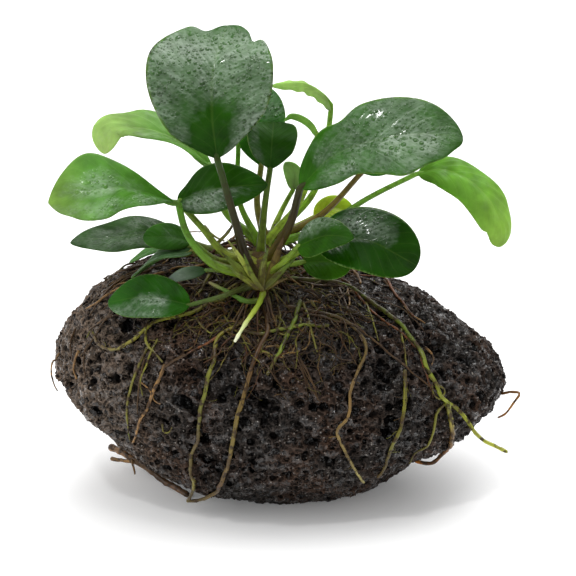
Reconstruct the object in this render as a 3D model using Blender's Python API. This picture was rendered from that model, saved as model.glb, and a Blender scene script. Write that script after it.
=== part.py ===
"""An anubias growing on a lava stone, built piece by piece at its real size.

Run it with: blender --background --python part.py

Lengths are in millimetres until a mesh is made, which turns them to metres. +X is to the right as the
plant is looked at from the front, +Y is towards the back and +Z is up. The origin is in the middle of
the stone's flat foot. Leaf blades, their stalks, the rhizome, the sprouts, the main roots and the
stone are separate solids, kept apart by a small gap where one grows out of another.
"""

import math
import random

import bmesh
import bpy
from mathutils import Vector, noise
from mathutils.bvhtree import BVHTree

METRES = 0.001
GAP = 0.4

# The front view, from which the places of leaves and roots are read.
VIEW_TILT = math.radians(20)
VIEW_DISTANCE = 600.0
VIEW_AIM = Vector((2.75, 0.0, 52.0))
VIEW_RIGHT = Vector((1.0, 0.0, 0.0))
VIEW_UP = Vector((0.0, math.sin(VIEW_TILT), math.cos(VIEW_TILT)))
VIEW_AHEAD = Vector((0.0, math.cos(VIEW_TILT), -math.sin(VIEW_TILT)))
EYE = VIEW_AIM - VIEW_AHEAD * VIEW_DISTANCE

# The stone: half its length, and at shares of that length from left (-1) to right (1) the height of
# its middle line and its half height and half depth, as if it were a full ellipsoid there.
STONE_HALF_LENGTH = 57.0
STONE_CELLS = 18
STONE_STATIONS = (
    (-1.00, 32.0, 21.0, 30.0),
    (-0.90, 33.0, 23.0, 33.0),
    (-0.75, 34.5, 29.5, 36.5),
    (-0.60, 33.0, 31.5, 38.0),
    (-0.30, 30.5, 31.0, 38.5),
    (0.00, 28.8, 29.8, 38.5),
    (0.30, 28.2, 28.2, 38.0),
    (0.55, 28.4, 25.6, 37.0),
    (0.80, 28.0, 22.8, 34.0),
    (1.00, 27.5, 20.5, 30.0),
)
FOOT_MIDDLE = (5.0, 0.0)
FOOT_REACH = (32.0, 22.0)
FOOT_DEPTH = 0.8
LUMP_SIZE = 17.0
LUMP_HEIGHT = 1.7
LEDGE_SIZE = 7.0
LEDGE_HEIGHT = 0.9
PIT_SPACING = 7.2
PIT_DEPTH = (1.6, 3.0)
PIT_RIM = 0.35
FOOT_KEEP = 5.0
# Large hollows: where they show in the front view, their radius and their depth.
HOLLOWS = (
    (-20.5, -45.5, 5.2, 5.0),
    (37.0, -14.5, 3.6, 4.0),
    (24.5, -20.5, 3.8, 3.5),
    (-5.5, -30.0, 4.0, 3.0),
    (29.5, -28.5, 3.2, 3.0),
    (-25.0, -22.0, 4.2, 3.0),
    (-40.5, -12.0, 3.6, 2.6),
)

# Fine roots and humus cover the stone round the rhizome: the middle and reach of the patch, seen from
# above, and its thickness.
MAT_MIDDLE = (-1.0, -18.0)
MAT_REACH = (16.0, 14.0)
MAT_THICKNESS = 1.0

# The rhizome lies front to back over the top of the stone.
RHIZOME_PLAN = ((-4.5, -21.5), (-4.0, -13.0), (-2.5, -4.0), (0.0, 6.0))
RHIZOME_RADIUS = 3.3
RHIZOME_RINGS = 13
RHIZOME_SIDES = 9

BLADE_THICKNESS = 0.9
BLADE_LANES = (-1.0, -0.55, 0.0, 0.55, 1.0)
STALK_SIDES = 5
STALK_STEPS = 7
ROOT_SIDES = 5


def leaf(name, spine, width, sides, ends=(0.55, 0.6), cup=0.1, wave=(0.0, 0.0, 0.0), rings=6,
         grows=(0.0, 0.0), via=(), stalk=0.85, young=False):
    """What sets one leaf.

    spine: points that the midrib passes through from base to tip, each (across, up, back).
    width: the blade's widest, in mm. sides: which way its right edge lies at base and at tip.
    ends: how the width grows at base and tip; 0.5 is round and 1 is pointed.
    cup: how far the edges rise above the midrib, as a share of half the width.
    wave: height in mm, number and start of the ripples along the edges.
    grows: where the stalk leaves the rhizome, as a share of its length and degrees from upright.
    via: points that the stalk passes, from the rhizome up. stalk: the stalk's radius in the middle.
    """
    return {"name": name, "spine": spine, "width": width, "sides": sides, "ends": ends, "cup": cup,
            "wave": wave, "rings": rings, "grows": grows, "via": via, "stalk": stalk, "young": young}


LEAVES = (
    leaf("top", ((-17.75, 33, -24), (-19, 43.5, -24), (-18.75, 54, -20), (-15.25, 65.5, -11)), 31,
         ((1, 0, 0.05), (1, 0, 0.1)), ends=(0.95, 0.55), cup=0.1, wave=(1.0, 2.6, 0.35),
         rings=9, grows=(0.07, -38), via=((-13.25, 17, -22.5),), stalk=0.95),
    leaf("right", ((3, 25, -18), (10.5, 32.5, -20), (24.25, 37.5, -22), (35.5, 38.5, -22),
                   (43.75, 37.25, -20)), 20,
         ((0.6, -0.5, -0.6), (0, -0.75, -0.65)), ends=(0.7, 0.55), rings=9,
         grows=(0.26, 45), via=((0.25, 15.5, -15.5),), stalk=1.0),
    leaf("drooping", ((32.5, 28.75, 2), (38, 29.75, 0), (46.5, 26, -3), (51.75, 19.5, -6),
                      (53.25, 14, -7), (52.25, 10.25, -8)), 13,
         ((0.1, -0.8, -0.6), (-0.8, -0.6, -0.1)), ends=(0.55, 0.45), cup=-0.2, rings=9,
         grows=(0.62, 62), via=((8, 15, -1), (20, 22.5, 2))),
    leaf("round", ((7, 12.5, -20), (19.25, 12, -24), (32.25, 5.5, -28)), 17.5,
         ((-0.1, -0.7, -0.7), (-0.25, -0.7, -0.65)), ends=(0.5, 0.45), rings=9,
         grows=(0.18, 62), via=((0, 7.5, -19),), stalk=0.9),
    leaf("small_right", ((2.5, 10.5, -24), (9.25, 13, -28), (16.5, 12.5, -31)), 10,
         ((0.1, -0.75, -0.65), (0, -0.75, -0.65)), ends=(0.5, 0.75),
         grows=(0.05, 55), via=((-0.5, 7, -22),), stalk=0.75),
    leaf("low_right", ((3.75, 6.5, -14), (10, 6.5, -15), (16, 6, -16)), 9.5,
         ((0, -0.6, -0.8), (0, -0.6, -0.8)), ends=(0.5, 0.5),
         grows=(0.25, 78), via=((1, 6, -14.5),), stalk=0.75),
    leaf("left", ((-27.5, 21.25, -17), (-34.5, 23.75, -19), (-41.5, 25, -21), (-50, 24.25, -23),
                  (-60, 21.25, -23)), 19,
         ((0.1, 0.75, 0.65), (0, 0.75, 0.65)), ends=(1.3, 0.68), rings=9,
         grows=(0.1, -72), via=((-18, 5.5, -20.5), (-25.5, 14, -19)), stalk=0.95),
    leaf("curled", ((-19, 30.5, 2), (-27.5, 36.5, 3), (-37, 41, 2), (-44.5, 41.5, 0),
                    (-46, 33.5, -4)), 13,
         ((0, 0.97, 0.1), (-0.85, 0.5, 0)), ends=(0.7, 0.6), rings=9,
         grows=(0.6, -38), via=((-16, 19.5, -1),)),
    leaf("middle", ((-27, 22.25, -11), (-20.75, 24.75, -13), (-13.25, 25.5, -14), (-5, 25.75, -14)),
         12.4, ((0, -0.65, -0.75), (0, -0.65, -0.75)), ends=(0.75, 0.75), rings=9,
         grows=(0.24, -50), via=((-15.5, 8.5, -14.5), (-21.5, 15, -13))),
    leaf("grey_left", ((-27, 12.5, 0), (-37, 14.25, 0), (-45.75, 13.25, 0), (-54.5, 11.25, -1)),
         12.3, ((0, 0.85, 0.35), (0, 0.85, 0.35)), ends=(0.6, 0.75), rings=9,
         grows=(0.42, -78), via=((-18.5, 9.5, -5),), stalk=0.8),
    leaf("small_left", ((-24, 11.75, -8), (-30, 12.75, -9), (-36.25, 12.5, -9)), 7.8,
         ((0, 0.7, 0.6), (0, 0.7, 0.6)), ends=(0.6, 0.55),
         grows=(0.31, -82), via=((-18.5, 7.5, -10),), stalk=0.7),
    leaf("back_left", ((-29, 10.5, 9), (-34.5, 9, 10), (-39.75, 6.25, 10)), 7,
         ((0.2, 0.95, 0.1), (0.2, 0.95, 0.1)), ends=(0.6, 0.7),
         grows=(0.74, -72), via=((-19, 12, 4),), stalk=0.65),
    leaf("narrow_left", ((-24, 9.25, -11), (-30.75, 8.25, -12.5), (-39.25, 2.5, -15)), 9,
         ((0.3, 0.95, -0.1), (0.3, 0.95, -0.1)), ends=(0.6, 0.75),
         grows=(0.2, -95), via=((-17.5, 6, -13),), stalk=0.7),
    leaf("front_left", ((-24.5, -4.25, -25), (-34.5, -2.25, -23), (-45, -3.75, -18)), 11.6,
         ((0, 0.72, 0.69), (0, 0.72, 0.69)), ends=(0.55, 0.65), rings=7,
         grows=(0.0, -105), via=((-17, -2.25, -26),), stalk=0.6),
    leaf("heart", ((-4.5, 30, -9), (-4, 37, -8), (-3.75, 41.5, 1)), 12.5,
         ((1, 0, 0), (1, 0, 0)), ends=(0.6, 0.45), cup=0.3,
         grows=(0.4, 0), via=((-5.75, 21, -9.5),)),
    leaf("back", ((-6.75, 30.5, 2), (-7.5, 40, 4), (-5.5, 50.5, 7)), 13,
         ((1, 0, -0.1), (1, 0, -0.1)), ends=(0.6, 0.6), rings=7,
         grows=(0.66, -8), via=((-7.75, 21, 0),)),
    leaf("young_curled", ((10.75, 44.5, 5), (8.5, 48, 4), (4.25, 50.75, 3), (0, 51, 2),
                          (-4.25, 50.5, 1)), 4,
         ((0, -0.85, -0.5), (0, -0.85, -0.5)), ends=(0.5, 0.6), cup=0.45, wave=(0.3, 5.0, 0.0),
         rings=8, grows=(0.8, 34), via=((6.5, 24, 4), (10, 38, 6)), stalk=0.8,
         young=True),
    leaf("young_thin", ((7, 38, 2), (5.5, 41, 2), (3, 42.75, 1.5), (0.5, 43, 1), (-1, 41.75, 0.5)), 2.6,
         ((0, -0.85, -0.5), (0, -0.85, -0.5)), ends=(0.5, 0.6), cup=0.45,
         grows=(0.56, 20), via=((3.75, 23, -2), (6.5, 33, 1)), stalk=0.7, young=True),
    leaf("young_upright", ((1.25, 24.5, 6), (1.5, 28.25, 6.5), (-0.75, 31.5, 7)), 4.6,
         ((0.9, 0, 0.2), (0.9, 0, 0.2)), ends=(0.6, 0.6), cup=0.3,
         grows=(0.92, 10), via=((-1.25, 20, 5),), stalk=0.7, young=True),
    leaf("yellow", ((6.5, 18.5, 7), (11.75, 21.25, 9), (17, 19, 10)), 8,
         ((0, -0.7, -0.7), (0, -0.7, -0.7)), ends=(0.55, 0.6),
         grows=(0.9, 52), via=((3, 16, 5),), stalk=0.7, young=True),
    leaf("half_hidden", ((-12.5, 36, -2), (-13, 43, -1), (-12, 49, 1)), 6.5,
         ((0.95, 0, 0.2), (0.95, 0, 0.2)), ends=(0.6, 0.7),
         grows=(0.52, -20), via=((-12, 21, -4.5),), stalk=0.7),
    leaf("hidden_right", ((18.5, 29, 2), (24.25, 34.5, 9), (30.5, 37.5, 18)), 14,
         ((0.6, -0.35, -0.7), (0.6, -0.35, -0.7)), ends=(0.55, 0.65), rings=7,
         grows=(0.72, 55), via=((8.5, 18.5, 1),), stalk=0.8),
)

# Roots and sprouts: route points in the front view. A point of two numbers lies on the stone's face
# there, and one of three hangs free, with its place back given too.
ROOTS = (
    ("root_long_right", 0.65, 14,
     ((-2, 2), (6, 1.5), (14, 0.5), (20.5, -4), (28, -9.5), (32, -15), (35.5, -22), (38, -27),
      (42, -30), (48, -37.25, -27), (54.5, -41, -30))),
    ("root_front_left", 0.65, 14,
     ((-8, -4), (-12, -9), (-17.5, -12.5), (-18.5, -18), (-20.75, -25.5), (-22, -33), (-22.5, -38),
      (-24, -42), (-24.25, -45), (-23.5, -48), (-24.5, -52.25, -17))),
    ("root_front_middle", 0.65, 14,
     ((-6, -5), (-5, -11), (-8, -16.75), (-9.5, -21.75), (-11.25, -28), (-13, -33), (-14, -39.25),
      (-15.5, -45.5), (-17.5, -50, -21), (-20, -52.5, -17), (-23, -53, -15))),
    ("root_front_right", 0.6, 14,
     ((0, -5), (8, -6.5), (14.25, -8.5), (18.5, -12.5), (19.25, -15.5), (17, -21.75), (15.5, -26.75),
      (14.75, -32.5), (12.5, -35), (13.75, -39.75), (16, -44.25), (18.75, -48.25))),
    ("root_right_low", 0.6, 8,
     ((29, -21), (28.75, -28), (28.25, -34.25), (26, -38.75), (24.75, -43), (22.25, -46.75))),
    ("root_green_middle", 0.68, 8,
     ((3, -4), (1, -10), (-0.75, -13.5), (-2.5, -17), (-4, -20), (-5, -21.5))),
    ("root_across", 0.6, 8,
     ((-12, -10.5), (-9.5, -11.25), (-6.5, -11.5), (-3.25, -10.75), (4.25, -9.75), (10, -9.75))),
    ("root_loop_right", 0.55, 8,
     ((39.5, -29), (40.5, -34), (40.5, -38), (38, -41.75, -14), (36, -43.5, -13), (31, -43, -12))),
    ("root_low_left", 0.8, 7,
     ((-44, -39.75, 5), (-38.5, -42.75, 0), (-32, -47.5, -5), (-25.25, -51.5, -12))),
    ("root_right_tip", 0.35, 8,
     ((53.5, -26.5, -3), (55.5, -26, -4), (57.75, -26.25, -5), (56.25, -29, -6), (54.25, -31.25, -7),
      (52.5, -32.25, -7))),
    ("root_olive_left", 0.6, 10,
     ((-16, -3), (-26, -7), (-34, -9.25), (-37, -11.75), (-42.5, -15.25), (-47, -14.25), (-49, -11.25))),
)
SPROUTS = (
    ("sprout_white", 0.85, 6, ((-7.25, -4.5, -27), (-10, -8, -29.5), (-13.25, -13.5, -32))),
    ("sprout_pointed", 0.75, 6, ((-9.5, -3.5, -26), (-15, -1, -22.5), (-19.5, 1.25, -19))),
)

STONE_COLOUR = (0.035, 0.025, 0.021)
LEAF_COLOUR = (0.045, 0.17, 0.02)
YOUNG_COLOUR = (0.22, 0.45, 0.05)
STALK_COLOUR = (0.13, 0.24, 0.04)
MAT_COLOUR = (0.07, 0.05, 0.025)
RHIZOME_COLOUR = (0.19, 0.17, 0.05)
ROOT_COLOUR = (0.28, 0.24, 0.07)
SPROUT_COLOUR = (0.55, 0.62, 0.22)


def clear_scene():
    for thing in list(bpy.data.objects):
        bpy.data.objects.remove(thing)


def seen(across, up, back):
    """The point that shows this far across and up from the view's middle, and lies this far back."""
    on_plane = VIEW_AIM + VIEW_RIGHT * across + VIEW_UP * up
    sight = on_plane - EYE
    return EYE + sight * ((back - EYE.y) / sight.y)


def through(points, count, start=None):
    """count points, evenly spaced, on a smooth curve through the given ones."""
    gaps = [max((b - a).length, 1e-6) for a, b in zip(points, points[1:])]
    ways = [(b - a) / gap for a, b, gap in zip(points, points[1:], gaps)]
    turns = [start or ways[0]]
    for k in range(1, len(ways)):
        turns.append((ways[k] * gaps[k - 1] + ways[k - 1] * gaps[k]) / (gaps[k] + gaps[k - 1]))
    turns.append(ways[-1])
    fine = []
    for a, b, gap, out, into in zip(points, points[1:], gaps, turns, turns[1:]):
        for step in range(24):
            t = step / 24
            fine.append(a * (2 * t ** 3 - 3 * t ** 2 + 1) + out * gap * (t ** 3 - 2 * t ** 2 + t)
                        + b * (3 * t ** 2 - 2 * t ** 3) + into * gap * (t ** 3 - t ** 2))
    fine.append(points[-1].copy())
    return evenly(fine, count)


def evenly(fine, count):
    """count points spaced evenly along a line of many points."""
    reached = [0.0]
    for a, b in zip(fine, fine[1:]):
        reached.append(reached[-1] + (b - a).length)
    made, k = [], 0
    for i in range(count):
        wanted = reached[-1] * i / (count - 1)
        while k < len(fine) - 2 and reached[k + 1] < wanted:
            k += 1
        share = (wanted - reached[k]) / max(reached[k + 1] - reached[k], 1e-9)
        made.append(fine[k].lerp(fine[k + 1], min(1.0, share)))
    return made


def between(stations, u, column):
    """One column of a table, read smoothly at u, its first column."""
    k = 0
    while k < len(stations) - 2 and stations[k + 1][0] < u:
        k += 1
    low, high = stations[k], stations[k + 1]
    t = (u - low[0]) / (high[0] - low[0])
    before = stations[max(k - 1, 0)]
    after = stations[min(k + 2, len(stations) - 1)]
    span = high[0] - low[0]
    slope_in = (high[column] - before[column]) / max(high[0] - before[0], 1e-9) * span
    slope_out = (after[column] - low[column]) / max(after[0] - low[0], 1e-9) * span
    return ((2 * t ** 3 - 3 * t ** 2 + 1) * low[column] + (t ** 3 - 2 * t ** 2 + t) * slope_in
            + (-2 * t ** 3 + 3 * t ** 2) * high[column] + (t ** 3 - t ** 2) * slope_out)


def make_object(name, bm, material, smooth=True):
    """The finished bmesh, in millimetres, as an object in metres."""
    bmesh.ops.recalc_face_normals(bm, faces=bm.faces[:])
    bmesh.ops.scale(bm, vec=(METRES, METRES, METRES), verts=bm.verts[:])
    mesh = bpy.data.meshes.new(name)
    bm.to_mesh(mesh)
    bm.free()
    if smooth:
        mesh.shade_smooth()
        mesh.set_sharp_from_angle(angle=math.radians(50))
    mesh.materials.append(material)
    thing = bpy.data.objects.new(name, mesh)
    bpy.context.scene.collection.objects.link(thing)
    return thing


def make_material(name, colour, roughness):
    material = bpy.data.materials.new(name)
    material.use_nodes = True
    shader = material.node_tree.nodes["Principled BSDF"]
    shader.inputs["Base Color"].default_value = (*colour, 1.0)
    shader.inputs["Roughness"].default_value = roughness
    shader.inputs["Metallic"].default_value = 0.0
    return material


def round_off(bm):
    """Moves the points of a cube from -1 to 1 onto a ball, spread about evenly."""
    for vert in bm.verts:
        x, y, z = vert.co
        vert.co = Vector((
            x * math.sqrt(1 - y * y / 2 - z * z / 2 + y * y * z * z / 3),
            y * math.sqrt(1 - z * z / 2 - x * x / 2 + z * z * x * x / 3),
            z * math.sqrt(1 - x * x / 2 - y * y / 2 + x * x * y * y / 3),
        ))


def stone_point(ball_point):
    """Where a point of the unit ball goes on the stone before its lumps and pits."""
    u = ball_point.x
    middle = between(STONE_STATIONS, u, 1)
    half_height = between(STONE_STATIONS, u, 2)
    half_depth = between(STONE_STATIONS, u, 3)
    return Vector((u * STONE_HALF_LENGTH, ball_point.y * half_depth,
                   middle + ball_point.z * half_height))


def outward(point):
    """The way out of the stone near a point, taking it as a plain ellipsoid."""
    u = max(-0.98, min(0.98, point.x / STONE_HALF_LENGTH))
    middle = between(STONE_STATIONS, u, 1)
    half_height = between(STONE_STATIONS, u, 2)
    half_depth = between(STONE_STATIONS, u, 3)
    return Vector((point.x / STONE_HALF_LENGTH ** 2, point.y / half_depth ** 2,
                   (point.z - middle) / half_height ** 2)).normalized()


def shape_stone(bm):
    for vert in bm.verts:
        vert.co = stone_point(vert.co)
    for vert in bm.verts:
        out = outward(vert.co)
        lump = noise.noise(vert.co / LUMP_SIZE) * LUMP_HEIGHT
        ledge = noise.noise(vert.co / LEDGE_SIZE + Vector((7.0, 3.0, 5.0))) * LEDGE_HEIGHT
        vert.co += out * (lump + ledge)
        across = (vert.co.x - FOOT_MIDDLE[0]) / FOOT_REACH[0]
        deep = (vert.co.y - FOOT_MIDDLE[1]) / FOOT_REACH[1]
        inside = min(1.0, 1.6 * (1 - across * across - deep * deep))
        if out.z < 0 < inside:
            vert.co.z = min(vert.co.z, vert.co.z * (1 - inside) - FOOT_DEPTH * inside)


def dig_hollows(bm):
    """The few large hollows, each where it shows in the front view."""
    tree = BVHTree.FromBMesh(bm)
    for across, up, radius, depth in HOLLOWS:
        mouth = meets(tree, across, up)
        out = outward(mouth)
        for vert in bm.verts:
            away = (vert.co - mouth).length / radius
            if away < 1.0:
                vert.co -= out * depth * math.cos(away * math.pi / 2)


def dig_pits(bm):
    """The round pits that cover the stone: single points pushed in, their neighbours raised."""
    draw = random.Random(4)
    chosen = []
    points = list(bm.verts)
    draw.shuffle(points)
    for vert in points:
        if vert.co.z < FOOT_KEEP:
            continue
        if all((vert.co - other).length > PIT_SPACING for other in chosen):
            chosen.append(vert.co.copy())
            out = outward(vert.co)
            vert.co -= out * draw.uniform(*PIT_DEPTH)
            for edge in vert.link_edges:
                edge.other_vert(vert).co += out * PIT_RIM


def build_stone(material):
    bm = bmesh.new()
    bmesh.ops.create_cube(bm, size=2)
    bmesh.ops.subdivide_edges(bm, edges=bm.edges[:], cuts=STONE_CELLS - 1, use_grid_fill=True)
    round_off(bm)
    shape_stone(bm)
    dig_hollows(bm)
    dig_pits(bm)
    bmesh.ops.triangulate(bm, faces=bm.faces[:])
    cut = bmesh.ops.bisect_plane(bm, geom=bm.verts[:] + bm.edges[:] + bm.faces[:], dist=1e-4,
                                 plane_co=(0, 0, 0), plane_no=(0, 0, -1), clear_outer=True)
    rim = [item for item in cut["geom_cut"] if isinstance(item, bmesh.types.BMEdge)]
    bmesh.ops.holes_fill(bm, edges=rim)
    tree = BVHTree.FromBMesh(bm)
    patch = root_patch(bm)
    make_object("stone", bm, material, smooth=False)
    return tree, patch


def root_patch(stone):
    """The part of the stone's skin under the fine roots: its points and its triangles."""
    numbers, places, faces = {}, [], []
    for face in stone.faces:
        middle = face.calc_center_median()
        across = (middle.x - MAT_MIDDLE[0]) / MAT_REACH[0]
        deep = (middle.y - MAT_MIDDLE[1]) / MAT_REACH[1]
        if middle.z < 20 or across * across + deep * deep > 1:
            continue
        for vert in face.verts:
            if vert.index not in numbers:
                numbers[vert.index] = len(places)
                places.append(vert.co.copy())
        faces.append(tuple(numbers[vert.index] for vert in face.verts))
    return places, faces


def build_mat(patch, material):
    """The fine roots round the rhizome as one thin skin just off the stone."""
    places, faces = patch
    sides = {}
    for face in faces:
        for start, end in zip(face, face[1:] + face[:1]):
            sides[(start, end)] = sides.get((start, end), 0) + 1
    rim = [pair for pair in sides if (pair[1], pair[0]) not in sides]
    edge = {number for pair in rim for number in pair}
    bm = bmesh.new()
    under, over = [], []
    for number, place in enumerate(places):
        thick = MAT_THICKNESS * (0.5 if number in edge else 1.0)
        under.append(bm.verts.new(place + outward(place) * GAP))
        over.append(bm.verts.new(place + outward(place) * (GAP + thick)))
    for a, b, c in faces:
        bm.faces.new((over[a], over[b], over[c]))
        bm.faces.new((under[c], under[b], under[a]))
    for a, b in rim:
        bm.faces.new((over[b], over[a], under[a]))
        bm.faces.new((over[b], under[a], under[b]))
    tree = BVHTree.FromBMesh(bm)
    make_object("root_mat", bm, material, smooth=False)
    return tree


def meets(tree, across, up):
    """Where the sight line at this place in the front view meets a surface."""
    on_plane = VIEW_AIM + VIEW_RIGHT * across + VIEW_UP * up
    found = tree.ray_cast(EYE, (on_plane - EYE).normalized())
    if found[0] is None:
        raise ValueError(f"nothing is seen at {across}, {up}")
    return found[0]


def top_of(tree, x, y):
    return tree.ray_cast(Vector((x, y, 200.0)), Vector((0, 0, -1)))[0]


def frames_along(path):
    """For each point of a path its tangent and two directions square to it, without a sudden turn."""
    frames = []
    side = None
    for i, point in enumerate(path):
        ahead = path[min(i + 1, len(path) - 1)] - path[max(i - 1, 0)]
        ahead.normalize()
        if side is None:
            guide = Vector((0, 0, 1)) if abs(ahead.z) < 0.8 else Vector((1, 0, 0))
            side = ahead.cross(guide).normalized()
        side = (side - ahead * side.dot(ahead)).normalized()
        frames.append((point, ahead, side, side.cross(ahead)))
    return frames


def tube(path, radii, sides):
    """A closed round tube along a path, with flat ends."""
    bm = bmesh.new()
    rings = []
    for (point, _, side, up), radius in zip(frames_along(path), radii):
        ring = []
        for k in range(sides):
            turn = 2 * math.pi * k / sides
            ring.append(bm.verts.new(point + (side * math.cos(turn) + up * math.sin(turn)) * radius))
        rings.append(ring)
    for near, far in zip(rings, rings[1:]):
        for k in range(sides):
            bm.faces.new((near[k], near[(k + 1) % sides], far[(k + 1) % sides], far[k]))
    bm.faces.new(rings[0])
    bm.faces.new(rings[-1])
    bmesh.ops.triangulate(bm, faces=bm.faces[:])
    return bm


def rhizome_axis(stone, mat):
    """The rhizome's middle line, clear of the stone and the fine roots all the way."""
    points = []
    for x, y in RHIZOME_PLAN:
        highest = max(top_of(stone, x + dx, y + dy).z for dx in (-2, 0, 2) for dy in (-2, 0, 2))
        points.append(Vector((x, y, highest + MAT_THICKNESS)))
    path = through(points, RHIZOME_RINGS)
    lift = 0.0
    for point in path:
        while mat.find_nearest(point + Vector((0, 0, lift)))[3] < RHIZOME_RADIUS * 1.12 + GAP:
            lift += 0.1
    return [point + Vector((0, 0, lift)) for point in path]


def build_rhizome(axis, material):
    radii = []
    for i in range(len(axis)):
        share = i / (len(axis) - 1)
        taper = math.sin(math.pi * (0.12 + 0.76 * share)) ** 0.35
        knuckle = 0.06 if i % 2 else -0.06
        radii.append(RHIZOME_RADIUS * taper * (1 + knuckle))
    bm = tube(axis, radii, RHIZOME_SIDES)
    tree = BVHTree.FromBMesh(bm)
    make_object("rhizome", bm, material)
    return tree


def spine_of(one, count=41):
    return through([seen(*place) for place in one["spine"]], count)


def half_width(one, s):
    grow, close = one["ends"]
    widest = grow / (grow + close)
    return 0.5 * one["width"] * (s / widest) ** grow * ((1 - s) / (1 - widest)) ** close


def blade_frame(one, spine, s):
    """The midrib's point at share s of its length, the way to the right edge, and the way up."""
    place = s * (len(spine) - 1)
    k = min(int(place), len(spine) - 2)
    point = spine[k].lerp(spine[k + 1], place - k)
    ahead = (spine[min(k + 2, len(spine) - 1)] - spine[max(k - 1, 0)]).normalized()
    at_base, at_tip = (Vector(side) for side in one["sides"])
    side = at_base.lerp(at_tip, s)
    side = (side - ahead * side.dot(ahead)).normalized()
    return point, side, side.cross(ahead)


def blade_point(one, spine, s, lane, lift=0.0):
    """A point of the blade: lane runs from -1 at the left edge to 1 at the right one."""
    point, side, up = blade_frame(one, spine, s)
    half = half_width(one, s)
    height, number, start = one["wave"]
    ripple = height * lane * lane * math.sin(2 * math.pi * (number * s + start * math.copysign(1, lane)))
    rise = one["cup"] * abs(lane) ** 1.6 * half + ripple * math.sin(math.pi * s) + lift
    return point + side * (lane * half) + up * rise


def build_blade(one, material):
    spine = spine_of(one)
    bm = bmesh.new()
    first = bm.verts.new(spine[0])
    last = bm.verts.new(spine[-1])
    inner = BLADE_LANES[1:-1]
    rings = []
    for i in range(1, one["rings"] + 1):
        s = (1 - math.cos(math.pi * i / (one["rings"] + 1))) / 2
        thick = BLADE_THICKNESS / 2
        upper = [blade_point(one, spine, s, lane, thick * (1 - abs(lane) ** 2)) for lane in inner]
        lower = [blade_point(one, spine, s, lane, -thick * (1 - abs(lane) ** 2)) for lane in inner]
        edges = [blade_point(one, spine, s, lane) for lane in (-1.0, 1.0)]
        loop = [edges[0], *upper, edges[1], *reversed(lower)]
        rings.append([bm.verts.new(point) for point in loop])
    for near, far in zip(rings, rings[1:]):
        for k in range(len(near)):
            nxt = (k + 1) % len(near)
            bm.faces.new((near[k], near[nxt], far[nxt], far[k]))
    for pole, ring in ((first, rings[0]), (last, rings[-1])):
        for k in range(len(ring)):
            bm.faces.new((pole, ring[k], ring[(k + 1) % len(ring)]))
    bmesh.ops.triangulate(bm, faces=bm.faces[:])
    tree = BVHTree.FromBMesh(bm)
    make_object("leaf_" + one["name"], bm, material)
    return spine, tree


def stalk_path(one, spine, axis, count):
    """From the rhizome's skin, out and up to just short of the blade."""
    share, degrees = one["grows"]
    place = share * (len(axis) - 1)
    k = min(int(place), len(axis) - 2)
    centre = axis[k].lerp(axis[k + 1], place - k)
    turn = math.radians(degrees)
    out = Vector((math.sin(turn), 0, math.cos(turn)))
    root = centre + out * (RHIZOME_RADIUS * 1.06 + GAP)
    via = [seen(*place) for place in one["via"]]
    arrive = (spine[0] - via[-1]).normalized()
    leave = (out * 0.6 + (via[0] - root).normalized()).normalized()
    return through([root, *via, spine[0] - arrive * 2.2 * GAP], count, start=leave)


def parted(path, radius, others, rhizome):
    """The path with its inner points moved off the pieces already there, and kept smooth."""
    path = [point.copy() for point in path]
    for _ in range(80):
        moved = False
        for i in range(len(path) - 1):
            for step in range(5):
                point = path[i].lerp(path[i + 1], step / 4)
                for tree in others + ([rhizome] if i > 0 else []):
                    near, _, _, away = tree.find_nearest(point)
                    if away > radius * 1.3 + GAP:
                        continue
                    push = (point - near).normalized() * 0.1
                    for k in (i, i + 1):
                        if 0 < k < len(path) - 1:
                            path[k] += push
                            moved = True
        if not moved:
            break
        for k in range(1, len(path) - 1):
            path[k] = path[k].lerp((path[k - 1] + path[k + 1]) / 2, 0.08)
    return path


def build_stalk(one, spine, axis, others, rhizome, material):
    path = parted(stalk_path(one, spine, axis, STALK_STEPS + 1), one["stalk"], others, rhizome)
    radii = []
    for i in range(len(path)):
        share = i / STALK_STEPS
        radii.append(one["stalk"] * (1 + 0.35 * (1 - share) ** 3 - 0.12 * share))
    bm = tube(path, radii, STALK_SIDES)
    tree = BVHTree.FromBMesh(bm)
    make_object("stalk_" + one["name"], bm, material)
    return tree


def route(points, stone, radius):
    """A root's points in space: those given by two numbers lie on the stone's face."""
    made = []
    for place in points:
        if len(place) == 3:
            made.append(seen(*place))
        else:
            met = meets(stone, *place)
            made.append(met + outward(met) * (radius + GAP))
    return made


def lifted(path, radius, stone, others):
    """The path raised off the stone and off the pieces already there, wherever it came too near."""
    path = [point.copy() for point in path]
    for _ in range(40):
        moved = False
        for i in range(len(path) - 1):
            for step in range(5):
                point = path[i].lerp(path[i + 1], step / 4)
                near, _, _, away = stone.find_nearest(point)
                out = outward(point)
                clear = away if (point - near).dot(out) > 0 or away > 4 else -away
                for tree in others:
                    clear = min(clear, tree.find_nearest(point)[3])
                if clear < radius * 1.05 + GAP:
                    path[i] += out * 0.12
                    path[i + 1] += out * 0.12
                    moved = True
        if not moved:
            break
    return [Vector((p.x, p.y, max(p.z, radius))) for p in path]


def build_root(name, radius, steps, points, stone, others, material, taper=0.75):
    path = through(route(points, stone, radius), steps + 1)
    path = lifted(path, radius, stone, others)
    radii = [radius * (1 - (1 - taper) * i / steps) for i in range(steps + 1)]
    bm = tube(path, radii, ROOT_SIDES)
    tree = BVHTree.FromBMesh(bm)
    make_object(name, bm, material)
    return tree


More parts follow.
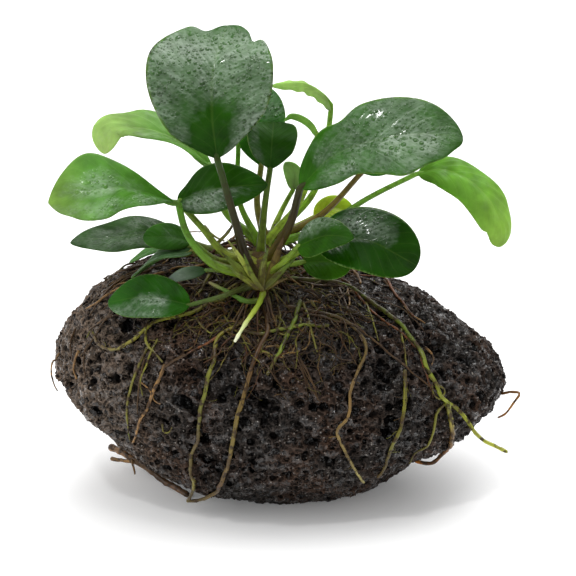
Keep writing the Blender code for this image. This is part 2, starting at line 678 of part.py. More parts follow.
def main():
    clear_scene()
    stone_finish = make_material("lava_stone", STONE_COLOUR, 0.55)
    leaf_finish = make_material("leaf", LEAF_COLOUR, 0.3)
    young_finish = make_material("young_leaf", YOUNG_COLOUR, 0.35)
    stalk_finish = make_material("stalk", STALK_COLOUR, 0.4)
    rhizome_finish = make_material("rhizome", RHIZOME_COLOUR, 0.6)
    root_finish = make_material("root", ROOT_COLOUR, 0.5)
    sprout_finish = make_material("sprout", SPROUT_COLOUR, 0.4)
    mat_finish = make_material("root_mat", MAT_COLOUR, 0.7)
    stone, patch = build_stone(stone_finish)
    mat = build_mat(patch, mat_finish)
    axis = rhizome_axis(stone, mat)
    rhizome = build_rhizome(axis, rhizome_finish)
    blades = {}
    for one in LEAVES:
        blades[one["name"]] = build_blade(one, young_finish if one["young"] else leaf_finish)
    stalks = []
    for one in LEAVES:
        spine, own = blades[one["name"]]
        others = [tree for _, tree in blades.values() if tree is not own] + stalks + [stone, mat]
        stalks.append(build_stalk(one, spine, axis, others, rhizome, stalk_finish))
    pieces = [mat, rhizome, *stalks]
    for name, radius, steps, points in SPROUTS:
        pieces.append(build_root(name, radius, steps, points, stone, pieces, sprout_finish, taper=0.6))
    for name, radius, steps, points in ROOTS:
        pieces.append(build_root(name, radius, steps, points, stone, pieces, root_finish))


main()
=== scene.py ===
"""How the anubias on its lava stone looks: every leaf, stalk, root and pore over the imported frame.

Lengths are in millimetres until a mesh is finished, which turns them to metres. +X is to the right in the
front view, +Y is towards the back and +Z is up, as in the frame.
"""

import math
import random

import bmesh
import bpy
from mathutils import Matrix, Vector, noise
from mathutils.bvhtree import BVHTree
from mathutils.kdtree import KDTree


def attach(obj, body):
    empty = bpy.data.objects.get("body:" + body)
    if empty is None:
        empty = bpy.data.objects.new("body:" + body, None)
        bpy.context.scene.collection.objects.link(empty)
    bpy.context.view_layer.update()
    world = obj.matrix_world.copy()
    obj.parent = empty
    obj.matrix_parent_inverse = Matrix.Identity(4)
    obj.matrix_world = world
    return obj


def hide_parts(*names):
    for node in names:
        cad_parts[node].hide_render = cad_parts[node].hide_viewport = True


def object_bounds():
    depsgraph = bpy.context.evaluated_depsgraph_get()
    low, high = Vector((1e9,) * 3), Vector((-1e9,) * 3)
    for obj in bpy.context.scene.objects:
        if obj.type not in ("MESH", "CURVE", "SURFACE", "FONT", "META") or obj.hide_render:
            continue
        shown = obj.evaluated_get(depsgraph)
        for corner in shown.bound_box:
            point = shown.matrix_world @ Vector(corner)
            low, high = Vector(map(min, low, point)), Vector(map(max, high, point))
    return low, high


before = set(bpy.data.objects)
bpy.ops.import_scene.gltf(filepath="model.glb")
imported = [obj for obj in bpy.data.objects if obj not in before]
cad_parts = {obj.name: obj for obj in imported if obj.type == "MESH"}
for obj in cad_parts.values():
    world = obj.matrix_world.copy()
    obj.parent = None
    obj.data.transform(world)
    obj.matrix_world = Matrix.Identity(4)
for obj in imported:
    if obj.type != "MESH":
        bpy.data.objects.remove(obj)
CAD_LOW, CAD_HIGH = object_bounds()

METRES = 0.001
# How far the pieces stay inside the solids' box, in metres.
BOX_MARGIN = 0.00003
# Points nearer to each other than this are joined.
WELD = 1e-4
# A height above everything, from which the stone is looked for.
ABOVE = 200.0
DOWN = Vector((0, 0, -1))
# Blender starts its vector noise at another place in every run, unless it's given a seed other than 0.
NOISE_SEED = 5
# How many short steps a smooth curve takes between two of its given points.
CURVE_STEPS = 24

# The front view, from which leaves and roots were placed: a picture 144 mm wide at the plant.
VIEW_TILT = math.radians(20)
VIEW_DISTANCE = 600.0
VIEW_AIM = Vector((2.75, 0.0, 52.0))
VIEW_RIGHT = Vector((1.0, 0.0, 0.0))
VIEW_UP = Vector((0.0, math.sin(VIEW_TILT), math.cos(VIEW_TILT)))
VIEW_AHEAD = Vector((0.0, math.cos(VIEW_TILT), -math.sin(VIEW_TILT)))
EYE = VIEW_AIM - VIEW_AHEAD * VIEW_DISTANCE
SENSOR = 36.0
VIEW_WIDTH = 144.0
PICTURE_SIZE = 576
# The stage, in metres and watts: half the floor's width, and each light's place, size and power.
FLOOR_HALF = 3.0
LIGHT_AIM = Vector((0.0, 0.0, 0.05))
LIGHTS = (
    ("key", (0.05, 0.1, 1.1), 0.9, 6.0),
    ("back", (0.3, 0.8, 0.8), 0.6, 3.5),
    ("left", (-0.9, -0.25, 0.45), 0.8, 3.0),
    ("glint", (-0.25, -0.45, 0.9), 0.07, 1.5),
)

# The stone: half its length, and at shares of that length from left (-1) to right (1) the height of
# its middle line and its half height and half depth.
STONE_HALF_LENGTH = 57.0
STONE_CELLS = 128
STONE_STATIONS = (
    (-1.00, 32.0, 21.0, 30.0),
    (-0.90, 33.0, 23.0, 33.0),
    (-0.75, 34.5, 29.5, 36.5),
    (-0.60, 33.0, 31.5, 38.0),
    (-0.30, 30.5, 31.0, 38.5),
    (0.00, 28.8, 29.8, 38.5),
    (0.30, 28.2, 28.2, 38.0),
    (0.55, 28.4, 25.6, 37.0),
    (0.80, 28.0, 22.8, 34.0),
    (1.00, 27.5, 20.5, 30.0),
)
# The way out of the stone is found with its section here, as a share of its half length, or nearer in.
STONE_END = 0.98
FOOT_MIDDLE = (5.0, 0.0)
FOOT_REACH = (32.0, 22.0)
FOOT_EDGE = 1.6
LUMP_SIZE, LUMP_HEIGHT = 17.0, 1.7
LEDGE_SIZE, LEDGE_HEIGHT, LEDGE_SHIFT = 7.0, 0.9, Vector((7.0, 3.0, 5.0))
# Crumbs on the stone's face: size and height.
CRUMBS = ((3.4, 0.4), (1.3, 0.35), (0.7, 0.2))
# Small gas pores: spacing, smallest and largest radius, and how deep a pore is for its radius. A pore's
# rim stands up by a share of its radius and reaches to RIM_END radii.
PORES = (
    (3.6, 0.8, 1.8, 1.0),
    (2.3, 0.6, 1.25, 0.9),
    (1.5, 0.4, 0.85, 0.8),
)
RIM_RISE, RIM_END = 0.22, 1.45
# The largest pores are the solid's own pits, dug at the same points of the same coarse stone, so the seed
# and the spacing are the solid's.
SOLID_CELLS = 18
PIT_SEED = 4
PIT_SPACING = 7.2
PIT_DEPTH = (1.6, 3.0)
PIT_RAGGED = ((1.8, 0.6), (0.8, 0.25))
FOOT_KEEP = 5.0
# The few large hollows: across and up in the front view, radius and depth.
HOLLOWS = (
    (-20.5, -45.5, 5.2, 5.0),
    (37.0, -14.5, 3.6, 4.0),
    (24.5, -20.5, 3.8, 3.5),
    (-5.5, -30.0, 4.0, 3.0),
    (29.5, -28.5, 3.2, 3.0),
    (-25.0, -22.0, 4.2, 3.0),
    (-40.5, -12.0, 3.6, 2.6),
)
# A knob that stands out at the lower left end, given like a hollow.
KNOB = (-49.5, -30.0, 7.0, -2.0)

HUMUS_MIDDLE = (-2.0, -17.0)
HUMUS_REACH = (19.0, 16.0)
HUMUS_THICKNESS, HUMUS_SUNK, HUMUS_DEPTH = 0.9, 0.9, 2.0
HUMUS_CRUMBS = ((2.2, 0.7), (0.9, 0.5))
HUMUS_FRAYED = 0.14
HUMUS_TINT = "#241a10"
RHIZOME_LINE = ((-4.5, -21.5, 60.7), (-4.2, -14.8, 63.0), (-2.8, -5.5, 64.3), (0.0, 6.0, 64.3))
RHIZOME_RADIUS, RHIZOME_BARK = 3.3, 2.5
RHIZOME_SCARS, SCAR_DEPTH = 9, 0.09
BARK_SIZE, BARK_HEIGHT = 1.8, 0.5

BLADE_THICKNESS = 0.55
BLADE_COLUMNS, BLADE_ROWS = 36, 84
# How a blade's face rises and falls: the groove over its midrib with the keel below, each how deep and
# how wide, the swelling of each half, the quilting between side veins and an uneven warp.
GROOVE_DEPTH, GROOVE_WIDTH = 0.4, 0.7
KEEL_DEPTH, KEEL_WIDTH = 0.5, 0.6
HALF_SWELL = 0.05
SIDE_VEINS, VEIN_SWEEP, VEIN_BEND, QUILT_HEIGHT = 8, 2.6, 0.8, 0.07
WARP_SIZE, WARP_HEIGHT = 7, 0.3
# A stalk runs on under its blade's midrib to these shares of the blade's length, and keeps this far off
# other blades.
MIDRIB_STOPS = (0.04, 0.1, 0.18, 0.28)
STALK_CLEARANCE = 0.35
# How a stalk is moved off them: how often at most, how far at a time, and how far each of its points is
# then drawn to the middle of its neighbours.
PARTING_ROUNDS, PARTING_STEP, PARTING_SMOOTH = 60, 0.1, 0.3
# As shares: how deep in the creeping stem a stalk starts, how much thicker it is at its foot and thinner at
# its top, how far below the midrib its middle runs on, how thick it is there and where it would end.
STALK_ROOTED, STALK_FOOT, STALK_TAPER = 0.9, 0.75, 0.15
MIDRIB_BELOW, MIDRIB_RADIUS, MIDRIB_END = 0.95, 0.7, 0.3
# The colour that a leaf's underside is mixed with, and its share.
UNDERSIDE, UNDERSIDE_SHARE = "#6f9450", 0.4

# How many points there are along each kind of path, and how many sides its tube has.
SPINE_POINTS = 81
STALK_ROUTE, STALK_RINGS, STALK_SIDES = 26, 44, 10
RHIZOME_RINGS, RHIZOME_SIDES = 110, 28
SHEATH_RINGS, SHEATH_SIDES = 22, 12
ROOT_RINGS, ROOT_SIDES = 72, 9
SPROUT_RINGS, SPROUT_SIDES = 40, 12
THIN_ROOT_STEP, THIN_ROOT_RINGS, THIN_ROOT_SIDES = 0.7, 10, 7
# The least that a root's middle stands off the stone, as a share of its radius.
ROOT_BEDDED = 0.7
# How a root wavers: the size of its bends, the size and share of finer ones, and how far it goes at most.
# Knots make it thicker and thinner by a share of its radius.
WAVER_SIZE, FINE_WAVER_SIZE, FINE_WAVER, WAVER_MOST = 5.0, 1.7, 0.4, 0.4
KNOT_SIZE, KNOT_HEIGHT = 1.3, 0.26
# The rounded end of every tube, each ring how far out and how thick as shares of the radius, and how many
# grooves run along those that have some.
ROUND_END = ((0.5, 0.87), (0.87, 0.5), (1.0, 0.0))
TUBE_GROOVES = 5
# Side roots: how many rings there are between two of them, how far each may shift, and the least and most
# of their length and of their radius as a share of the root's.
ROOTLET_GAP, ROOTLET_SHIFT = 9, 3
ROOTLET_LENGTH, ROOTLET_RADIUS = (1.2, 3.6), (0.22, 0.38)
# A fine root goes over the stone in steps of this length, and lies at least this far off it.
WANDER_STEP, WANDER_LIFT = 0.6, 0.15
ROOTLET_SEED, TANGLE_SEED, BACK_SEED = 11, 7, 23


def leaf(name, spine, width, sides, blade, stem, ends=(0.55, 0.6), cup=0.1, wave=(0.0, 0.0, 0.0),
         grows=(0.0, 0.0), via=(), stalk=0.85, young=False, scallops=(), edges=(),
         film=((0, 0.5, 1.5, 0.6, 0.3),), scene_only=False):
    """What sets one leaf: spine, width, sides, ends, cup, wave, grows, via and stalk as in the solids.

    blade: the blade's colours from base to tip. stem: the stalk's colours from the rhizome up.
    scallops: how the tip's outline comes and goes, each how far right of the midrib, how far out, spread.
    edges: where an edge is fuller or narrower, each side (-1 left, 1 right), place along, spread, share.
    film: where water is left on it, each place across (-1 left, 1 right) and along, its reach both ways,
    and how wet; where it is wet, a sheen is painted into the blade's colour. scene_only: there is no solid
    of it.
    """
    return {"name": name, "spine": spine, "width": width, "sides": sides, "blade": blade, "stem": stem,
            "ends": ends, "cup": cup, "wave": wave, "grows": grows, "via": via, "stalk": stalk,
            "young": young, "scallops": scallops, "edges": edges, "film": film,
            "scene_only": scene_only}


LEAVES = (
    leaf("top", ((-17.75, 32.3, -24), (-19, 43.5, -24), (-18.75, 54, -20), (-15.25, 65.5, -11)), 31,
         ((1, 0, 0.05), (1, 0, 0.1)), ("#123400", "#234c0c", "#2c5a16"),
         ("#3a3014", "#221c08", "#26260a", "#2c4414", "#2c4812"), ends=(0.82, 0.55),
         wave=(1.0, 2.6, 0.35), grows=(0.07, -38), via=((-13.25, 17, -22.5),), stalk=0.95,
         scallops=((-12, -0.9, 2.4), (-4.4, -2.0, 2.4), (3.2, 0.9, 2.4), (7.4, -1.7, 1.1),
                   (10.4, 1.0, 1.7), (14, -0.8, 1.5)),
         edges=((1, 0.6, 0.2, -0.08),),
         film=((0, 0.7, 3.0, 0.35, 0.95), (1.0, 0.45, 0.55, 0.4, 1.3), (-1.0, 0.52, 0.55, 0.35, 1.0),
               (0.1, 0.97, 0.4, 0.08, -1.0), (0.7, 0.8, 0.25, 0.09, -1.3), (-0.05, 0.76, 0.1, 0.05, -1.3),
               (-0.8, 0.86, 0.3, 0.05, -1.1))),
    leaf("right", ((3, 25, -18), (10.5, 32.5, -20), (24.25, 37.5, -22), (35.5, 38.5, -22),
                   (43.75, 37.25, -20)), 20,
         ((0.6, -0.5, -0.6), (0, -0.75, -0.65)), ("#2c5a10", "#27540e", "#2a5214"),
         ("#6a6218", "#453c12", "#2a240c", "#33401a", "#3c5c1a"), ends=(0.7, 0.55), cup=0.12,
         wave=(0.5, 1.7, 0.1), grows=(0.26, 45), via=((0.25, 15.5, -15.5),), stalk=1.0,
         edges=((-1, 0.16, 0.14, -0.2), (-1, 0.36, 0.07, -0.22), (1, 0.38, 0.13, -0.22),
                (1, 0.67, 0.1, 0.2), (1, 0.96, 0.06, -0.22)),
         film=((0, 0.64, 1.5, 0.42, 0.82), (0.6, 0.26, 0.5, 0.26, 0.75), (-0.3, 0.32, 0.7, 0.22, 0.6),
               (0.45, 0.7, 0.22, 0.06, -1.2), (-0.4, 0.62, 0.16, 0.05, -1.2),
               (-0.5, 0.84, 0.2, 0.05, -1.0))),
    leaf("drooping", ((32.5, 28.75, 2), (38, 29.75, 0), (46.5, 26, -3), (51.75, 19.5, -6),
                      (53.25, 14, -7), (52.25, 10.25, -8)), 13,
         ((0.1, -0.8, -0.6), (-0.8, -0.6, -0.1)), ("#4a7c1a", "#689a32", "#86ac46"),
         ("#5f8420", "#5c8826", "#66962e"), ends=(0.55, 0.45), cup=-0.2, wave=(0.3, 2.2, 0.2),
         grows=(0.62, 62), via=((8, 15, -1), (20, 22.5, 2)), stalk=0.74),
    leaf("round", ((7, 12.5, -20), (19.25, 12, -24), (32.25, 5.5, -28)), 17.5,
         ((-0.1, -0.7, -0.7), (-0.25, -0.7, -0.65)), ("#143c00", "#163a00"), ("#6f7a20", "#4f7a20"),
         ends=(0.5, 0.45), wave=(0.3, 2.0, 0.1), grows=(0.18, 62), via=((0, 7.5, -19),), stalk=0.9,
         film=((-0.45, 0.4, 0.55, 0.34, 0.9), (0.15, 0.14, 0.5, 0.18, 0.9))),
    leaf("small_right", ((2.5, 10.5, -24), (9.25, 13, -28), (16.5, 12.5, -31)), 10,
         ((0.1, -0.75, -0.65), (0, -0.75, -0.65)), ("#224804", "#1a3e04"), ("#6f7a20", "#5a8228"),
         ends=(0.5, 0.75), grows=(0.05, 55), via=((-0.5, 7, -22),), stalk=0.75,
         film=((-0.8, 0.3, 0.6, 0.45, 0.8),)),
    leaf("low_right", ((3.75, 6.5, -14), (10, 6.5, -15), (16, 6, -16)), 9.5,
         ((0, -0.6, -0.8), (0, -0.6, -0.8)), ("#284c08", "#2c5409"), ("#6f7a20", "#4f7620"),
         ends=(0.5, 0.5), grows=(0.25, 78), via=((1, 6, -14.5),), stalk=0.75, film=()),
    leaf("left", ((-27.5, 21.25, -17), (-34.5, 23.75, -19), (-41.5, 25, -21), (-50, 24.25, -23),
                  (-60, 21.25, -23)), 19,
         ((0.1, 0.75, 0.65), (0, 0.75, 0.65)), ("#2f6010", "#457824", "#528432", "#6c8c3c"),
         ("#6a7420", "#4f7a24", "#3f6e1c"), ends=(1.5, 0.86), wave=(0.7, 2.6, 0.5),
         grows=(0.1, -72), via=((-18, 5.5, -20.5), (-25.5, 14, -19)), stalk=0.95,
         edges=((1, 0.24, 0.2, -0.42), (-1, 0.34, 0.1, -0.12), (-1, 0.47, 0.12, -0.24),
                (-1, 0.86, 0.07, -0.12)),
         film=((0.1, 0.6, 0.5, 0.35, 0.75), (-0.7, 0.5, 0.5, 0.7, 0.55), (-0.1, 0.66, 0.12, 0.05, -1.2))),
    leaf("curled", ((-19, 30.5, 2), (-27.5, 36.8, 3), (-37, 39.9, 2), (-44.2, 39.6, 0),
                    (-46, 33.5, -4)), 12,
         ((0, 0.92, 0.38), (-0.84, 0.46, 0.2)), ("#4c7a26", "#5f8a3c", "#98b464"), ("#6a8a24", "#4a7a24"),
         ends=(0.7, 0.6), wave=(0.3, 2.0, 0.3), grows=(0.6, -38), via=((-16, 19.5, -1),),
         edges=((1, 0.45, 0.22, 0.4), (-1, 0.35, 0.2, -0.3))),
    leaf("middle", ((-27.6, 21.8, -11), (-20.75, 24.4, -13), (-13.25, 25.4, -14), (-5, 25.75, -14)),
         13.2, ((0, -0.65, -0.75), (0, -0.65, -0.75)), ("#1f4408", "#1e4606"),
         ("#7a7a2a", "#5a8a28"), ends=(0.52, 0.75), wave=(0.2, 2.0, 0.0),
         edges=((-1, 0.1, 0.16, -0.4),),
         grows=(0.24, -50), via=((-15.5, 8.5, -14.5), (-21.5, 15, -13)),
         film=((0.45, 0.36, 0.5, 0.3, 1.0),)),
    leaf("grey_left", ((-27, 12.5, 0), (-37, 13.4, 0), (-45.75, 12.3, 0), (-54.5, 11.25, -1)),
         13, ((0, 0.9, 0.35), (0, 0.9, 0.35)), ("#264414", "#2c4a20"), ("#6a6a2a", "#4a6a2a"),
         ends=(0.6, 0.75), wave=(0.2, 2.0, 0.4), grows=(0.42, -78), via=((-18.5, 9.5, -5),), stalk=0.8,
         film=((0, 0.5, 2.0, 0.9, 0.4),)),
    leaf("small_left", ((-24, 11.75, -8), (-30, 12.75, -9), (-36.25, 12.5, -9)), 7.8,
         ((0, 0.7, 0.6), (0, 0.7, 0.6)), ("#2a5012", "#2e5a1a"), ("#7a7a2a", "#4f7a24"),
         ends=(0.6, 0.55), grows=(0.31, -82), via=((-18.5, 7.5, -10),), stalk=0.7),
    leaf("back_left", ((-29, 10.5, 9), (-34.5, 9, 10), (-39.75, 6.25, 10)), 7,
         ((0.2, 0.95, 0.1), (0.2, 0.95, 0.1)), ("#426e30", "#4f7c3c"), ("#7a7a2a", "#4f7a2a"),
         ends=(0.6, 0.7), grows=(0.74, -72), via=((-19, 10.2, 3),), stalk=0.65),
    leaf("narrow_left", ((-24, 9.25, -11), (-30.75, 8.25, -12.5), (-39.25, 2.5, -15)), 10,
         ((0.3, 0.9, 0.06), (0.3, 0.9, 0.06)), ("#2c4c22", "#3c5a34", "#1f480c"), ("#6a5a20", "#5a6024"),
         ends=(0.6, 0.75), grows=(0.2, -95), via=((-17.5, 6, -13),), stalk=0.7),
    leaf("front_left", ((-24.5, -4.25, -25), (-34.5, -2.25, -23), (-45, -3.75, -18)), 11.6,
         ((0, 0.72, 0.69), (0, 0.72, 0.69)), ("#1a4802", "#184204", "#265414"),
         ("#3a3e16", "#3c4a1c", "#3e5c20"),
         ends=(0.55, 0.65), grows=(0.0, -105), via=((-17, -2.25, -26),), stalk=0.6,
         film=((-0.8, 0.65, 0.7, 0.5, 0.6), (-0.2, 0.45, 0.4, 0.22, 0.9))),
    leaf("heart", ((-4.5, 29.6, -9), (-4, 36.6, -8.6), (-3.6, 41.4, -3.5)), 12.2,
         ((1, 0, 0), (1, 0, 0)), ("#1a3c08", "#20440a"), ("#5a6a1c", "#3a5a18"), ends=(0.85, 0.5),
         cup=0.22, wave=(0.6, 2.2, 0.3), grows=(0.4, 0), via=((-5.75, 21, -9.5),),
         film=((-0.8, 0.4, 0.5, 0.35, 0.55),)),
    leaf("back", ((-6.75, 30.5, 2), (-7.5, 40, 4), (-5.5, 50.5, 7)), 13,
         ((1, 0, -0.1), (1, 0, -0.1)), ("#265810", "#2e661c"), ("#6a5a2a", "#5a6a24"),
         ends=(0.85, 0.6), grows=(0.66, -8), via=((-7.75, 21, 0),), film=((0.4, 0.8, 0.8, 0.3, 0.9),)),
    leaf("young_curled", ((10.75, 44.5, 5), (8.5, 48, 4), (4.25, 50.75, 3), (0, 51, 2),
                          (-4.25, 50.5, 1)), 4,
         ((0, -0.85, -0.5), (0, -0.85, -0.5)), ("#9cbc6c", "#a4c864", "#94bc58"),
         ("#7a9a28", "#6aa028"), ends=(0.5, 0.6), cup=0.45, wave=(0.3, 5.0, 0.0),
         grows=(0.8, 34), via=((6.5, 24, 4), (10, 38, 6)), stalk=0.8, young=True),
    leaf("young_thin", ((7, 38, 2), (5.5, 41, 2), (3, 42.75, 1.5), (0.5, 43, 1), (-1, 41.75, 0.5)), 2.6,
         ((0, -0.85, -0.5), (0, -0.85, -0.5)), ("#7aa83a", "#5f9a24"), ("#8aa030", "#7aa02c"),
         ends=(0.5, 0.6), cup=0.45, grows=(0.56, 20), via=((3.75, 23, -2), (6.5, 33, 1)), stalk=0.7,
         young=True),
    leaf("young_upright", ((1.25, 24.5, 6), (1.5, 28.25, 6.5), (-0.75, 31.5, 7)), 4.6,
         ((0.9, 0, 0.2), (0.9, 0, 0.2)), ("#7a9a50", "#8ab060"), ("#8a9a30", "#6a9a2c"),
         ends=(0.6, 0.6), cup=0.3, grows=(0.92, 10), via=((-1.25, 20, 5),), stalk=0.7, young=True),
    leaf("yellow", ((6.5, 17.8, 7), (11.75, 19.9, 9), (17, 18, 10)), 7.2,
         ((0, -0.7, -0.7), (0, -0.7, -0.7)), ("#98a824", "#86a424"), ("#8f902c", "#8a9c2c"),
         ends=(0.55, 0.6), grows=(0.9, 52), via=((3, 16, 5),), stalk=0.7, young=True),
    leaf("half_hidden", ((-12.5, 36, -2), (-13, 43, -1), (-12, 49, 1)), 6.5,
         ((0.95, 0, 0.2), (0.95, 0, 0.2)), ("#2f6a18", "#2f6a18"), ("#6a8a24", "#4a8a1c"),
         ends=(0.6, 0.7), grows=(0.52, -20), via=((-12, 21, -4.5),), stalk=0.7),
    leaf("hidden_right", ((18.5, 29, 2), (24.25, 34.5, 9), (30.5, 37.5, 18)), 11.5,
         ((0.6, -0.35, -0.7), (0.6, -0.35, -0.7)), ("#2a6414", "#245a14"),
         ("#5a5a1e", "#6c5c26", "#524e20"),
         ends=(0.55, 0.65), grows=(0.72, 55), via=((8.5, 18.5, 1),), stalk=0.8),
    leaf("on_stone", ((-20.5, 4.5, -18), (-26.5, 3.25, -20), (-31, 1.2, -20)), 3.2,
         ((0, 0.6, 0.8), (0, 0.6, 0.8)), ("#2c4a24", "#4c5c4a", "#5c6860"), ("#7a7a34", "#4f7a34"),
         ends=(0.6, 0.8), grows=(0.15, -88), via=((-16.5, 4.25, -19),), stalk=0.5, scene_only=True),
)

# Main roots: name, radius, colours from the crown outwards, and route points in the front view. A point
# of two numbers lies on the stone's face there, and one of three hangs free, with its place back given.
ROOTS = (
    ("long_right", 0.6, ("#464c14", "#4c5816", "#5c6a1e", "#8a9030", "#a8ac40"),
     ((-2, 2), (6, 1.5), (14, 0.5), (20.5, -4), (28, -9.5), (32, -15), (35.5, -22), (38, -27),
      (42, -30), (48, -37.25, -27), (54.5, -41, -30))),
    ("front_left", 0.53, ("#3a3014", "#6c6420", "#666a22", "#4c3e26", "#7c7430", "#6c5a2a"),
     ((-8, -4), (-12, -9), (-17.5, -12.5), (-18.5, -18), (-20.75, -25.5), (-22, -33), (-22.5, -38),
      (-24, -42), (-24.25, -45), (-23.4, -48.5), (-24.9, -53, -21))),
    ("front_middle", 0.6, ("#3a3014", "#5c4026", "#6c5e2a", "#5c452a", "#6c602e"),
     ((-6, -5), (-5, -11), (-8, -16.75), (-9.5, -21.75), (-11.25, -28), (-13, -33), (-14, -39.25),
      (-15.5, -45.5), (-16.6, -48.5), (-18.3, -51.2, -27), (-20.5, -52.6, -25), (-22.7, -53.2, -23),
      (-24.8, -53.4, -21))),
    ("front_right", 0.44, ("#3a2c16", "#483a1e", "#63522c", "#7a6038", "#80703e", "#aaa264"),
     ((0, -5), (8, -6.5), (14.25, -8.5), (18.5, -12.5), (19.25, -15.5), (17, -21.75), (15.5, -26.75),
      (14.75, -32.5), (12.5, -35), (13.75, -39.75), (16, -44.25), (18.75, -48.25))),
    ("right_low", 0.5, ("#4a461a", "#6c6a26", "#5e5a28", "#544226"),
     ((29, -21), (28.75, -28), (28.25, -34.25), (26, -38.75), (24.75, -43), (22.25, -46.75))),
    ("green_middle", 0.58, ("#3c3e16", "#56641c", "#606e20", "#5c6222"),
     ((3, -4), (1, -10), (-0.75, -13.5), (-2.5, -17), (-4, -20), (-5, -21.5))),
    ("across", 0.52, ("#3a3614", "#565e1a", "#5e6a1c", "#646e20"),
     ((-12, -10.5), (-9.5, -11.25), (-6.5, -11.5), (-3.25, -10.75), (4.25, -9.75), (10, -9.75))),
    ("loop_right", 0.62, ("#7f8a34", "#8a6c40", "#80522a", "#a8681c"),
     ((39.5, -29), (40.5, -34), (40.5, -38), (38, -41.75, -14), (36, -43.5, -13), (31, -43, -12))),
    ("low_left", 0.95, ("#8a6c50", "#846648", "#6c5238", "#5c4630", "#7c5c44", "#54402c"),
     ((-44, -39.75, 5), (-38.5, -42.75, 0), (-32, -47.5, -5), (-25.25, -51.5, -12))),
    ("right_tip", 0.35, ("#6a4420", "#9a6c34", "#8a5a2c"),
     ((53.5, -26.5, -3), (55.5, -26, -4), (57.75, -26.25, -5), (56.25, -29, -6), (54.25, -31.25, -7),
      (52.5, -32.25, -7))),
    ("olive_left", 0.5, ("#3f3a18", "#66661e", "#7c8022", "#76702c", "#5f5036", "#4a3c28"),
     ((-16, -3), (-26, -7), (-34, -9.25), (-37, -11.75), (-42.5, -15.25), (-47, -14.25), (-49, -11.25))),
)
SPROUTS = (
    ("white", 0.72, ("#4c5212", "#6c801a", "#94a23c", "#ccd498", "#e8e9d2"),
     ((-6.2, -1.2, -24.5), (-7.4, -4.2, -27), (-10, -8, -29.5), (-13.25, -13.2, -32))),
    ("pointed", 0.72, ("#45461a", "#3a5a16", "#4c6428", "#8c8056"),
     ((-7.2, -3.2, -25), (-10.2, -3.3, -25.6), (-15, -1, -22.5), (-19.5, 1.25, -19))),
)

